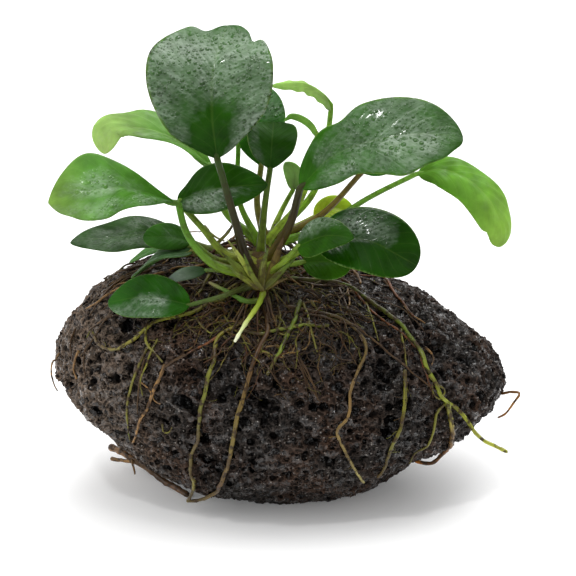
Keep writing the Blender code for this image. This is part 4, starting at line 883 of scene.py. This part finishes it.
def tube(bm, path, radii, sides, stops, flute=0.0, flat=1.0):
    """A closed round stem along a path, with rounded ends, coloured from one end to the other. flute is
    how deep the grooves along it are, and flat how thick it is for its width."""
    path, radii = list(path), list(radii)
    for _ in range(2):
        path.reverse()
        radii.reverse()
        out, end, radius = (path[-1] - path[-2]).normalized(), path[-1], radii[-1]
        for reach, share in ROUND_END:
            path.append(end + out * radius * reach)
            radii.append(radius * share)
    frames, last = frames_along(path), len(path) - 1

    def place(x, y):
        point, _, side, up = frames[round(y * last)]
        turn = 2 * math.pi * x
        radius = radii[round(y * last)] * (1 + flute * math.cos(TUBE_GROOVES * turn))
        return point + (side * math.cos(turn) * flat + up * math.sin(turn)) * radius

    made = lay(bm, sides, last, place, lambda x, y: blend(stops, y))
    bmesh.ops.remove_doubles(bm, verts=made, dist=WELD)


def finish_piece(name, bm, material, nodes=()):
    """The mesh as a piece of the object, kept inside the solids' box, for the solids that it replaces."""
    bmesh.ops.recalc_face_normals(bm, faces=bm.faces[:])
    bmesh.ops.scale(bm, vec=(METRES, METRES, METRES), verts=bm.verts[:])
    for vert in bm.verts:
        for axis, margin_below in enumerate((BOX_MARGIN, BOX_MARGIN, 0.0)):
            low, high = CAD_LOW[axis] + margin_below, CAD_HIGH[axis] - BOX_MARGIN
            vert.co[axis] = min(max(vert.co[axis], low), high)
    mesh = bpy.data.meshes.new(name)
    bm.to_mesh(mesh)
    bm.free()
    mesh.shade_smooth()
    mesh.materials.append(material)
    piece = in_scene(name, mesh)
    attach(piece, "root")
    if nodes:
        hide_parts(*nodes)


# The stone.

def round_off(bm):
    """Moves the points of a cube from -1 to 1 onto a ball, spread about evenly."""
    for vert in bm.verts:
        x, y, z = vert.co
        vert.co = Vector((
            x * math.sqrt(1 - y * y / 2 - z * z / 2 + y * y * z * z / 3),
            y * math.sqrt(1 - z * z / 2 - x * x / 2 + z * z * x * x / 3),
            z * math.sqrt(1 - x * x / 2 - y * y / 2 + x * x * y * y / 3),
        ))


def stone_section(u):
    """The height of the stone's middle, its half height and its half depth at a share of its length."""
    return tuple(between(STONE_STATIONS, u, column) for column in (1, 2, 3))


def outward(point):
    """The way out of the stone near a point, taking it as a plain ellipsoid."""
    u = max(-STONE_END, min(STONE_END, point.x / STONE_HALF_LENGTH))
    middle, half_height, half_depth = stone_section(u)
    return Vector((point.x / STONE_HALF_LENGTH ** 2, point.y / half_depth ** 2,
                   (point.z - middle) / half_height ** 2)).normalized()


def shape_stone(bm):
    """The stone's form without its pores: the long egg, its lumps and ledges, and its flat foot."""
    for vert in bm.verts:
        u = vert.co.x
        middle, half_height, half_depth = stone_section(u)
        vert.co = Vector((u * STONE_HALF_LENGTH, vert.co.y * half_depth, middle + vert.co.z * half_height))
        out = outward(vert.co)
        lump = noise.noise(vert.co / LUMP_SIZE) * LUMP_HEIGHT
        ledge = noise.noise(vert.co / LEDGE_SIZE + LEDGE_SHIFT) * LEDGE_HEIGHT
        vert.co += out * (lump + ledge)
        across = (vert.co.x - FOOT_MIDDLE[0]) / FOOT_REACH[0]
        deep = (vert.co.y - FOOT_MIDDLE[1]) / FOOT_REACH[1]
        inside = min(1.0, FOOT_EDGE * (1 - across * across - deep * deep))
        if out.z < 0 < inside:
            vert.co.z = min(vert.co.z, vert.co.z * (1 - inside))


def egg(cells):
    """The stone's form without its pores, on a mesh of so many cells to an edge of the cube it starts as."""
    bm = bmesh.new()
    bmesh.ops.create_cube(bm, size=2)
    bmesh.ops.subdivide_edges(bm, edges=bm.edges[:], cuts=cells - 1, use_grid_fill=True)
    round_off(bm)
    shape_stone(bm)
    return bm


def hollow_out(point, mouths):
    """How far the few large hollows cut the stone back at a point."""
    cut = 0.0
    for mouth, radius, depth in mouths:
        away = (point - mouth).length / radius
        if away < 1.0:
            cut += depth * math.cos(away * math.pi / 2)
    return cut


def mouths_on(tree, hollows):
    """Hollows with the middle of each mouth as a point of the stone's face."""
    return [(meets(tree, across, up), radius, depth) for across, up, radius, depth in hollows]


def solid_pits():
    """Where the solid has its pits, and how deep each is."""
    bm = egg(SOLID_CELLS)
    mouths = mouths_on(BVHTree.FromBMesh(bm), HOLLOWS)
    for vert in bm.verts:
        vert.co -= outward(vert.co) * hollow_out(vert.co, mouths)
    draw = random.Random(PIT_SEED)
    points = list(bm.verts)
    draw.shuffle(points)
    pits = []
    for vert in points:
        if vert.co.z >= FOOT_KEEP and all((vert.co - pit).length > PIT_SPACING for pit, _ in pits):
            pits.append((vert.co.copy(), draw.uniform(*PIT_DEPTH)))
    bm.free()
    return pits


def pore_depth(point, pits, finder):
    """How far the gas pores cut the stone back at a point, and how far their rims stand up."""
    deepest, rim = 0.0, 0.0
    nearest, away = finder.find(point)[1:]
    depth = pits[nearest][1]
    radius = depth * (0.5 + 0.22 * noise.cell(pits[nearest][0]))
    away += ragged(point, PIT_RAGGED)
    if away < radius:
        deepest = depth * math.sqrt(max(0.0, 1 - (away / radius) ** 2))
    for spacing, least, most, steep in PORES:
        away, centres = noise.voronoi(point / spacing)
        share = noise.cell(centres[0] * 31.7)
        radius = least + (most - least) * abs(share)
        gone = away[0] * spacing / radius
        if gone < 1:
            deepest = max(deepest, steep * radius * math.sqrt(1 - gone * gone))
        elif gone < RIM_END:
            rim = max(rim, RIM_RISE * radius * (1 - (gone - 1) / (RIM_END - 1)))
    return deepest, rim


def build_stone():
    """The stone with its pores, hollows and crumbs. Gives back its form before they are cut."""
    pits = solid_pits()
    finder = KDTree(len(pits))
    for number, (place, _) in enumerate(pits):
        finder.insert(place, number)
    finder.balance()
    bm = egg(STONE_CELLS)
    smooth = BVHTree.FromBMesh(bm)
    pore_layer = bm.verts.layers.float.new("pore")
    mouths, knob = mouths_on(smooth, HOLLOWS), mouths_on(smooth, (KNOB,))
    for vert in bm.verts:
        out = outward(vert.co)
        deep, rim = pore_depth(vert.co, pits, finder)
        hollow = hollow_out(vert.co, mouths)
        # The pore value keeps how deep the pores and hollows go, which the material paints dark as shade,
        # less the rims, which it paints lighter as highlights.
        vert[pore_layer] = min(1.0, (deep + 0.25 * hollow) / 2.0) - rim
        vert.co += out * (rim - deep - hollow + ragged(vert.co, CRUMBS) - hollow_out(vert.co, knob))
        vert.co.z = max(vert.co.z, 0.0)
    finish_piece("scoria", bm, wet_scoria(), ("stone",))
    return smooth


# Leaves and stalks.

def half_width(one, s):
    """How far a plain blade's edge is from the midrib at share s of its length."""
    grow, close = one["ends"]
    widest = grow / (grow + close)
    return 0.5 * one["width"] * (s / widest) ** grow * ((1 - s) / (1 - widest)) ** close


def edge_reach(one, s, lane):
    """How far the edge on the lane's side is from the midrib."""
    reach = half_width(one, s)
    for side, along, spread, share in one["edges"]:
        if side * lane > 0:
            reach *= 1 + share * math.exp(-((s - along) / spread) ** 2)
    return reach


def blade_frame(one, spine, s):
    """The midrib's point at share s of its length, the way to the right edge, and the way up."""
    place = s * (len(spine) - 1)
    k = min(int(place), len(spine) - 2)
    point = spine[k].lerp(spine[k + 1], place - k)
    ahead = (spine[min(k + 2, len(spine) - 1)] - spine[max(k - 1, 0)]).normalized()
    at_base, at_tip = (Vector(side) for side in one["sides"])
    side = at_base.lerp(at_tip, s)
    side = (side - ahead * side.dot(ahead)).normalized()
    return point, side, side.cross(ahead)


def blade_point(one, spine, lane, s, face):
    """A point of the blade's upper face (face 1), middle (0) or lower face (-1)."""
    point, side, up = blade_frame(one, spine, s)
    half = edge_reach(one, s, lane)
    ahead = up.cross(side)
    for across, reach, spread in one["scallops"]:
        fades = min(1.0, max(0.0, (s - 0.6) / 0.35)) ** 2
        point = point + ahead * reach * fades * math.exp(-((lane * half - across) / spread) ** 2)
    height, number, start = one["wave"]
    ripple = height * lane * lane * math.sin(2 * math.pi * (number * s + start * math.copysign(1, lane)))
    rise = one["cup"] * abs(lane) ** 1.6 * half + ripple * math.sin(math.pi * s)
    rise += HALF_SWELL * half * math.sin(math.pi * abs(lane)) * math.sin(math.pi * s)
    away = abs(lane) * half
    rise -= GROOVE_DEPTH * math.exp(-(away / GROOVE_WIDTH) ** 2) * (1 - s) * min(1.0, half / 2)
    quilt = math.sin(2 * math.pi * (SIDE_VEINS * s - VEIN_SWEEP * abs(lane) ** VEIN_BEND))
    rise += QUILT_HEIGHT * quilt * math.sin(math.pi * abs(lane)) * min(1.0, half / 5)
    warp = noise.noise(point / WARP_SIZE + side * lane * half / WARP_SIZE)
    rise += WARP_HEIGHT * warp * min(1.0, half / 3)
    thick = BLADE_THICKNESS / 2 * min(1.0, half / 0.8) * (1 - abs(lane) ** 8)
    keel = KEEL_DEPTH * math.exp(-(away / KEEL_WIDTH) ** 2) * (1 - s) ** 1.5 if face < 0 else 0.0
    return point + side * (lane * half) + up * (rise + face * thick - keel * min(1.0, half / 0.8))


def build_blade(one, material):
    """One blade, its two faces meeting at the edge. Gives back its midrib, and a tree for finding what is
    near it."""
    spine = through([seen(*place) for place in one["spine"]], SPINE_POINTS)
    bm = new_skin()
    under_tint = linear(UNDERSIDE)

    def spread(x, y):
        return math.copysign(abs(2 * x - 1) ** 1.3, x - 0.5), (1 - math.cos(math.pi * y)) / 2

    def upper_tint(x, y):
        return blend(one["blade"], spread(x, y)[1])

    def lower_tint(x, y):
        return tuple((1 - UNDERSIDE_SHARE) * a + UNDERSIDE_SHARE * b
                     for a, b in zip(upper_tint(x, y), under_tint))

    def chart(x, y):
        lane, s = spread(x, y)
        return (lane + 1) / 2, s

    def film(x, y):
        lane, s = spread(x, y)
        return max([wet * math.exp(-((lane - across) / wide) ** 2 - ((s - along) / long) ** 2)
                    for across, along, wide, long, wet in one["film"]], default=0.0)

    for face, tint, wetness in ((1, upper_tint, film), (-1, lower_tint, None)):
        lay(bm, BLADE_COLUMNS, BLADE_ROWS,
            lambda x, y: blade_point(one, spine, *spread(x, y), face), tint, chart, wetness)
    bmesh.ops.remove_doubles(bm, verts=bm.verts[:], dist=WELD)
    tree = BVHTree.FromBMesh(bm)
    nodes = () if one["scene_only"] else ("leaf_" + one["name"],)
    finish_piece(one["name"] + "_blade", bm, material, nodes)
    return spine, tree


def stalk_path(one, spine, axis):
    """From inside the rhizome, out and up to the blade."""
    share, degrees = one["grows"]
    place = share * (len(axis) - 1)
    k = min(int(place), len(axis) - 2)
    centre = axis[k].lerp(axis[k + 1], place - k)
    turn = math.radians(degrees)
    out = Vector((math.sin(turn), 0, math.cos(turn)))
    root = centre + out * RHIZOME_RADIUS * STALK_ROOTED
    via = [seen(*place) for place in one["via"]]
    leave = (out * 0.6 + (via[0] - root).normalized()).normalized()
    return centre, through([root, *via, spine[0]], STALK_ROUTE, start=leave)


def parted(path, radius, others):
    """The path with its inner points moved off the blades in its way, and kept smooth."""
    path = [point.copy() for point in path]
    for _ in range(PARTING_ROUNDS):
        moved = False
        for i in range(1, len(path) - 3):
            for tree in others:
                near, _, _, away = tree.find_nearest(path[i])
                if away < radius + STALK_CLEARANCE:
                    path[i] += (path[i] - near).normalized() * PARTING_STEP
                    moved = True
        if not moved:
            break
        for k in range(1, len(path) - 1):
            path[k] = path[k].lerp((path[k - 1] + path[k + 1]) / 2, PARTING_SMOOTH)
    return path


def build_stalk(one, spine, axis, others, material):
    """One stalk, sheathed and thicker at its base, running on into the midrib under the blade."""
    centre, path = stalk_path(one, spine, axis)
    path = parted(path, one["stalk"], others)
    shares = [i / (STALK_ROUTE - 1) for i in range(STALK_ROUTE)]
    radii = [one["stalk"] * (1 + STALK_FOOT * (1 - share) ** 4 - STALK_TAPER * share) for share in shares]
    path.insert(0, centre)
    radii.insert(0, radii[0])
    for s in MIDRIB_STOPS:
        point, _, up = blade_frame(one, spine, s)
        path.append(point - up * one["stalk"] * MIDRIB_BELOW)
        radii.append(one["stalk"] * MIDRIB_RADIUS * (1 - s / MIDRIB_END))
    bm = new_skin()
    radii = [radii[round(i * (len(radii) - 1) / (STALK_RINGS - 1))] for i in range(STALK_RINGS)]
    tube(bm, evenly(path, STALK_RINGS), radii, STALK_SIDES, one["stem"], flute=0.05)
    nodes = () if one["scene_only"] else ("stalk_" + one["name"],)
    finish_piece(one["name"] + "_stalk", bm, material, nodes)


def build_rhizome(axis):
    """The creeping stem, with the ring scars of old leaves."""
    bm = new_skin()
    radii = []
    for i in range(len(axis)):
        share = i / (len(axis) - 1)
        scar = SCAR_DEPTH * math.cos(share * 2 * math.pi * RHIZOME_SCARS)
        radii.append(RHIZOME_BARK * math.sin(math.pi * (0.1 + 0.76 * share)) ** 0.5 * (1 + scar))
    tube(bm, axis, radii, RHIZOME_SIDES, ("#3a2c14", "#4a3c18", "#4c4418", "#4a4a1c"), flute=0.05)
    for vert in bm.verts:
        vert.co += noise.noise_vector(vert.co / BARK_SIZE) * BARK_HEIGHT
    finish_piece("creeping_stem", bm, stem_skin("rhizome bark", 0.55, 0.5, 0.8, 0.7),
                 ("rhizome",))


def build_sheaths():
    """The dried and the green scales that wrap the stalks where they leave the creeping stem."""
    bm = new_skin()
    for width, stops, places in SHEATHS:
        path = through([seen(*from_picture(place)) for place in places], SHEATH_RINGS)
        shares = [k / (SHEATH_RINGS - 1) for k in range(SHEATH_RINGS)]
        radii = [width * min(1.0, 0.75 + 1.5 * share) * (1 - share ** 2.5) + 0.08 for share in shares]
        tube(bm, path, radii, SHEATH_SIDES, stops, flute=0.1, flat=0.45)
    finish_piece("old_sheaths", bm, stem_skin("leaf sheath", 0.5, 0.5, 0.6, 0.3))


# Roots and humus.

def held_off(path, radius, skin, free):
    """The path kept just on the stone, apart from its last free points."""
    least = radius * ROOT_BEDDED
    made = []
    for i, point in enumerate(path):
        if i < len(path) - free:
            near = skin.find_nearest(point)[0]
            out = outward(near)
            depth = (point - near).dot(out)
            if depth < least:
                point = point + out * (least - depth)
        made.append(point)
    return made


def root_route(places, skin, radius):
    """A root's points in space: those given by two numbers lie on the stone's face."""
    made = []
    for place in places:
        if len(place) == 3:
            made.append(seen(*place))
        else:
            met = meets(skin, *place)
            made.append(met + outward(met) * radius)
    return made


def root_tube(bm, path, radius, stops, sides, seed, taper=0.75, waver_by=0.8):
    """A root along a path, wavering a little and never quite even in thickness."""
    waver = Vector((seed * 3.1, seed * 1.7, seed * 5.3))
    last = len(path) - 1
    bent, radii = [], []
    for i, point in enumerate(path):
        drift = noise.noise_vector(point / WAVER_SIZE + waver)
        drift = drift + FINE_WAVER * noise.noise_vector(point / FINE_WAVER_SIZE + waver)
        bent.append(point + drift * min(WAVER_MOST, radius * waver_by))
        knot = 1 + KNOT_HEIGHT * noise.noise(point / KNOT_SIZE + waver)
        radii.append(radius * knot * (1 - (1 - taper) * i / last))
    tube(bm, bent, radii, sides, stops)


def rootlets(bm, path, radius, skin, draw):
    """The short side roots that leave a main root on the stone."""
    for k in range(6, len(path) - 8, ROOTLET_GAP):
        start = path[k + draw.randint(-ROOTLET_SHIFT, ROOTLET_SHIFT)]
        out = outward(start)
        ahead = (path[k + 1] - path[k - 1]).normalized()
        side = out.cross(ahead) * draw.choice((-1, 1))
        way = wander(skin, draw, start, (side + ahead * draw.uniform(0.2, 1.0)).normalized(),
                     draw.uniform(*ROOTLET_LENGTH), draw.uniform(0.0, 0.3), 0.3)
        root_tube(bm, [start, *way], radius * draw.uniform(*ROOTLET_RADIUS), draw.choice(TANGLE_COLOURS), 5,
                  k, taper=0.4)


def build_roots(skin, material, tip_finish):
    """The main roots with their side roots, and the two sprouts."""
    draw = random.Random(ROOTLET_SEED)
    for number, (name, radius, stops, places) in enumerate(ROOTS):
        in_air = sum(len(place) == 3 for place in places)
        free = ROOT_RINGS if len(places[0]) == 3 else ROOT_RINGS * in_air // len(places)
        path = held_off(through(root_route(places, skin, radius), ROOT_RINGS), radius, skin, free)
        bm = new_skin()
        root_tube(bm, path, radius, stops, ROOT_SIDES, number)
        if name != "low_left":
            rootlets(bm, path[:ROOT_RINGS - free], radius, skin, draw)
        finish_piece(name + "_root", bm, material, ("root_" + name,))
    for number, (name, radius, stops, places) in enumerate(SPROUTS):
        bm = new_skin()
        path = through(root_route(places, skin, radius), SPROUT_RINGS)
        root_tube(bm, path, radius, stops, SPROUT_SIDES, number + 40, taper=0.55, waver_by=0.15)
        finish_piece(name + "_sprout", bm, tip_finish, ("sprout_" + name,))


def from_picture(place):
    """A place in the picture, given from its top left, as one across and up from its middle."""
    scale, middle = VIEW_WIDTH / PICTURE_SIZE, PICTURE_SIZE / 2
    return ((place[0] - middle) * scale, (middle - place[1]) * scale, *place[2:])


def build_thin_roots(skin, material):
    """The thinner roots that the picture shows, and those guessed on the stone's back."""
    bm = new_skin()
    for number, (radius, stops, places) in enumerate(THIN_ROOTS):
        path = root_route([from_picture(place) for place in places], skin, radius)
        length = sum((b - a).length for a, b in zip(path, path[1:]))
        count = max(THIN_ROOT_RINGS, int(length / THIN_ROOT_STEP))
        free = count if len(places[-1]) == 3 else 0
        path = held_off(through(path, count), radius, skin, free)
        root_tube(bm, path, radius * 0.9, stops, THIN_ROOT_SIDES, number + 80, taper=0.6)
    # Those that go down the back start round the creeping stem's far end.
    draw = random.Random(BACK_SEED)
    for number in range(BACK_COUNT):
        turn = math.radians(draw.uniform(-25, 205))
        heading = Vector((math.cos(turn), math.sin(turn), 0))
        x, y = draw.uniform(-6, 3) + 3 * heading.x, draw.uniform(-12, 4) + 3 * heading.y
        start = ground_below(skin, Vector((x, y, ABOVE)))
        far = number % 3 == 0
        path = wander(skin, draw, start, heading, draw.uniform(30, 58) if far else draw.uniform(8, 26),
                      draw.uniform(0.0, 0.5), 0.1 if far else 0.2)
        root_tube(bm, path, draw.uniform(0.28, 0.48) if far else draw.uniform(0.14, 0.3),
                  draw.choice((OLIVE, TAN, BROWN, BROWN, RUSTY)), 7 if far else 5, number + 200, taper=0.5)
    finish_piece("thin_roots", bm, material)


def wander(skin, draw, point, heading, length, hover, curl):
    """A fine root's way over the stone from a point, turning as it goes and held a little off it."""
    path, gone = [], 0.0
    while gone < length:
        out = outward(point)
        side = out.cross(heading).normalized()
        turn = draw.gauss(0, curl)
        heading = (heading * math.cos(turn) + side * math.sin(turn)).normalized()
        near = skin.find_nearest(point + heading * WANDER_STEP)[0]
        out = outward(near)
        heading = (heading - out * heading.dot(out)).normalized()
        lift = hover * (0.5 + 0.5 * math.sin(gone * 0.9 + hover * 40))
        path.append(near + out * (WANDER_LIFT + lift))
        point = near
        gone += WANDER_STEP
    return path


def crown_ground(skin, turn, reach):
    """The stone's face at a turn round the crown, a share of the humus's reach out."""
    return ground_below(skin, Vector((HUMUS_MIDDLE[0] + HUMUS_REACH[0] * reach * math.cos(turn),
                                      HUMUS_MIDDLE[1] + HUMUS_REACH[1] * reach * math.sin(turn), ABOVE)))


def build_tangle(skin, axis, material):
    """The fine roots that cover the stone round the crown, and the hairs among them."""
    draw = random.Random(TANGLE_SEED)
    bm = new_skin()
    for number in range(FIBRE_COUNT):
        start = axis[draw.randint(0, len(axis) - 1)]
        turn, reach = draw.uniform(0, 2 * math.pi), draw.uniform(*FIBRE_REACH)
        aside = Vector((math.cos(turn), math.sin(turn), 0))
        ground = ground_below(skin, start + aside * reach + Vector((0, 0, 60)))
        bend = start.lerp(ground, 0.5) + Vector((0, 0, draw.uniform(0.3, 2.2)))
        path = through([start, bend, ground], 12)
        root_tube(bm, path, draw.uniform(*FIBRE_RADIUS), draw.choice(TANGLE_COLOURS), 6, number, taper=0.6)
    for number in range(TANGLE_COUNT):
        turn, reach = draw.uniform(0, 2 * math.pi), draw.uniform(0.15, 1.0) ** 0.6
        start = crown_ground(skin, turn, reach)
        heading = Vector((math.cos(turn), math.sin(turn), 0)) * 0.6 + Vector(
            (draw.uniform(-1, 1), draw.uniform(-1.2, 0.6), 0))
        length = draw.uniform(*TANGLE_LENGTH)
        path = wander(skin, draw, start, heading.normalized(), length, draw.uniform(0.0, 1.3), 0.22)
        radius = draw.uniform(*TANGLE_RADIUS)
        root_tube(bm, path, radius, draw.choice(TANGLE_COLOURS), 5, number, taper=0.45)
    for number in range(HAIR_COUNT):
        turn, reach = draw.uniform(0, 2 * math.pi), draw.uniform(0, 1.5) ** 0.7
        start = crown_ground(skin, turn, reach)
        if start is None:
            continue
        heading = Vector((draw.uniform(-1, 1), draw.uniform(-1, 1), 0)).normalized()
        path = wander(skin, draw, start, heading, draw.uniform(*HAIR_LENGTH), draw.uniform(0, 0.9), 0.5)
        root_tube(bm, path, draw.uniform(*HAIR_RADIUS), draw.choice(TANGLE_COLOURS), 3, number, taper=0.4)
    finish_piece("fine_roots", bm, material)


def build_humus(skin):
    """Humus caught among the roots: a crumbly cover that runs out to nothing at its edge."""
    bm = new_skin()

    def place(x, y, top):
        a, b = 2 * x - 1, 2 * y - 1
        across, deep = a * math.sqrt(1 - b * b / 2), b * math.sqrt(1 - a * a / 2)
        edge = math.sqrt(across * across + deep * deep)
        frayed = 1 + HUMUS_FRAYED * noise.noise(Vector((across * 2.5, deep * 2.5, 4.0)))
        spot = Vector((HUMUS_MIDDLE[0] + HUMUS_REACH[0] * across * frayed,
                       HUMUS_MIDDLE[1] + HUMUS_REACH[1] * deep * frayed, ABOVE))
        ground = ground_below(skin, spot)
        heap = max(0.0, 1 - edge ** 3)
        crumbs = 0.6 + ragged(ground, HUMUS_CRUMBS)
        rise = heap * HUMUS_THICKNESS * crumbs if top else -HUMUS_DEPTH * heap
        return ground + outward(ground) * (rise - HUMUS_SUNK)

    for top, cells in ((True, 110), (False, 20)):
        lay(bm, cells, cells, lambda x, y: place(x, y, top), lambda x, y: linear(HUMUS_TINT))
    finish_piece("humus", bm, damp_humus(), ("root_mat",))


# The stage.

def build_stage():
    """A pale floor and soft light, and the camera where the picture was taken from."""
    bm = bmesh.new()
    bmesh.ops.create_grid(bm, x_segments=1, y_segments=1, size=FLOOR_HALF)
    mesh = bpy.data.meshes.new("floor")
    bm.to_mesh(mesh)
    bm.free()
    floor = in_scene("floor", mesh)
    paper = new_finish("white light table", {"Base Color": paint("#f6f6f6"), "Roughness": 0.7,
                                             "Emission Color": (1, 1, 1, 1), "Emission Strength": 0.1})[0]
    mesh.materials.append(paper)

    world = bpy.data.worlds.new("studio")
    world.use_nodes = True
    sky = world.node_tree
    # Soft light from above, and little from the horizon, which the leaves that face the camera mirror.
    way = add(sky, "TexCoord").outputs["Generated"]
    height = add(sky, "SeparateXYZ", {0: way}).outputs["Z"]
    glow = add(sky, "MapRange", {"Value": height, "From Min": 0.2, "From Max": 0.75, "To Min": 0.4,
                                 "To Max": 1.05}, interpolation_type="SMOOTHSTEP")
    feed(sky, sky.nodes["Background"], {"Color": (1, 1, 1, 1), "Strength": glow})
    bpy.context.scene.world = world
    bpy.context.scene.view_settings.view_transform = "Standard"

    for name, place, size, power in LIGHTS:
        light = bpy.data.lights.new(name, "AREA")
        light.size = size
        light.energy = power
        lamp = in_scene(name, light)
        lamp.location = place
        lamp.rotation_euler = (LIGHT_AIM - lamp.location).to_track_quat("-Z", "Y").to_euler()

    lens = bpy.data.cameras.new("camera")
    lens.sensor_width = SENSOR
    lens.lens = SENSOR * VIEW_DISTANCE / VIEW_WIDTH
    lens.clip_start = 0.01
    camera = in_scene("camera", lens)
    camera.location = EYE * METRES
    camera.rotation_euler = (math.pi / 2 - VIEW_TILT, 0, 0)
    bpy.context.scene.camera = camera


def main():
    """The stage, then the object from the stone up."""
    noise.seed_set(NOISE_SEED)
    build_stage()
    skin = build_stone()
    axis = through([Vector(place) for place in RHIZOME_LINE], RHIZOME_RINGS)
    build_rhizome(axis)
    build_sheaths()
    old = leaf_skin("leathery leaf", 0.35, 0.03, 1.0, 0.3)
    fresh = leaf_skin("young leaf", 0.4, 0.3, 0.25, 1.0)
    blades = {}
    for one in LEAVES:
        bright = one["young"] or one["name"] in ("drooping", "curled")
        blades[one["name"]] = build_blade(one, fresh if bright else old)
    stalk_finish = stem_skin("leaf stalk", 0.35, 0.4, 0.35, 0.15)
    coarse = axis[::10]
    for one in LEAVES:
        spine, own = blades[one["name"]]
        others = [tree for _, tree in blades.values() if tree is not own]
        build_stalk(one, spine, coarse, others, stalk_finish)
    root_finish = stem_skin("wet root", 0.4, 0.5, 0.9, 0.75, 0.3)
    build_roots(skin, root_finish, stem_skin("root tip", 0.35, 0.12, 0.05))
    build_thin_roots(skin, root_finish)
    build_humus(skin)
    build_tangle(skin, axis, root_finish)


main()
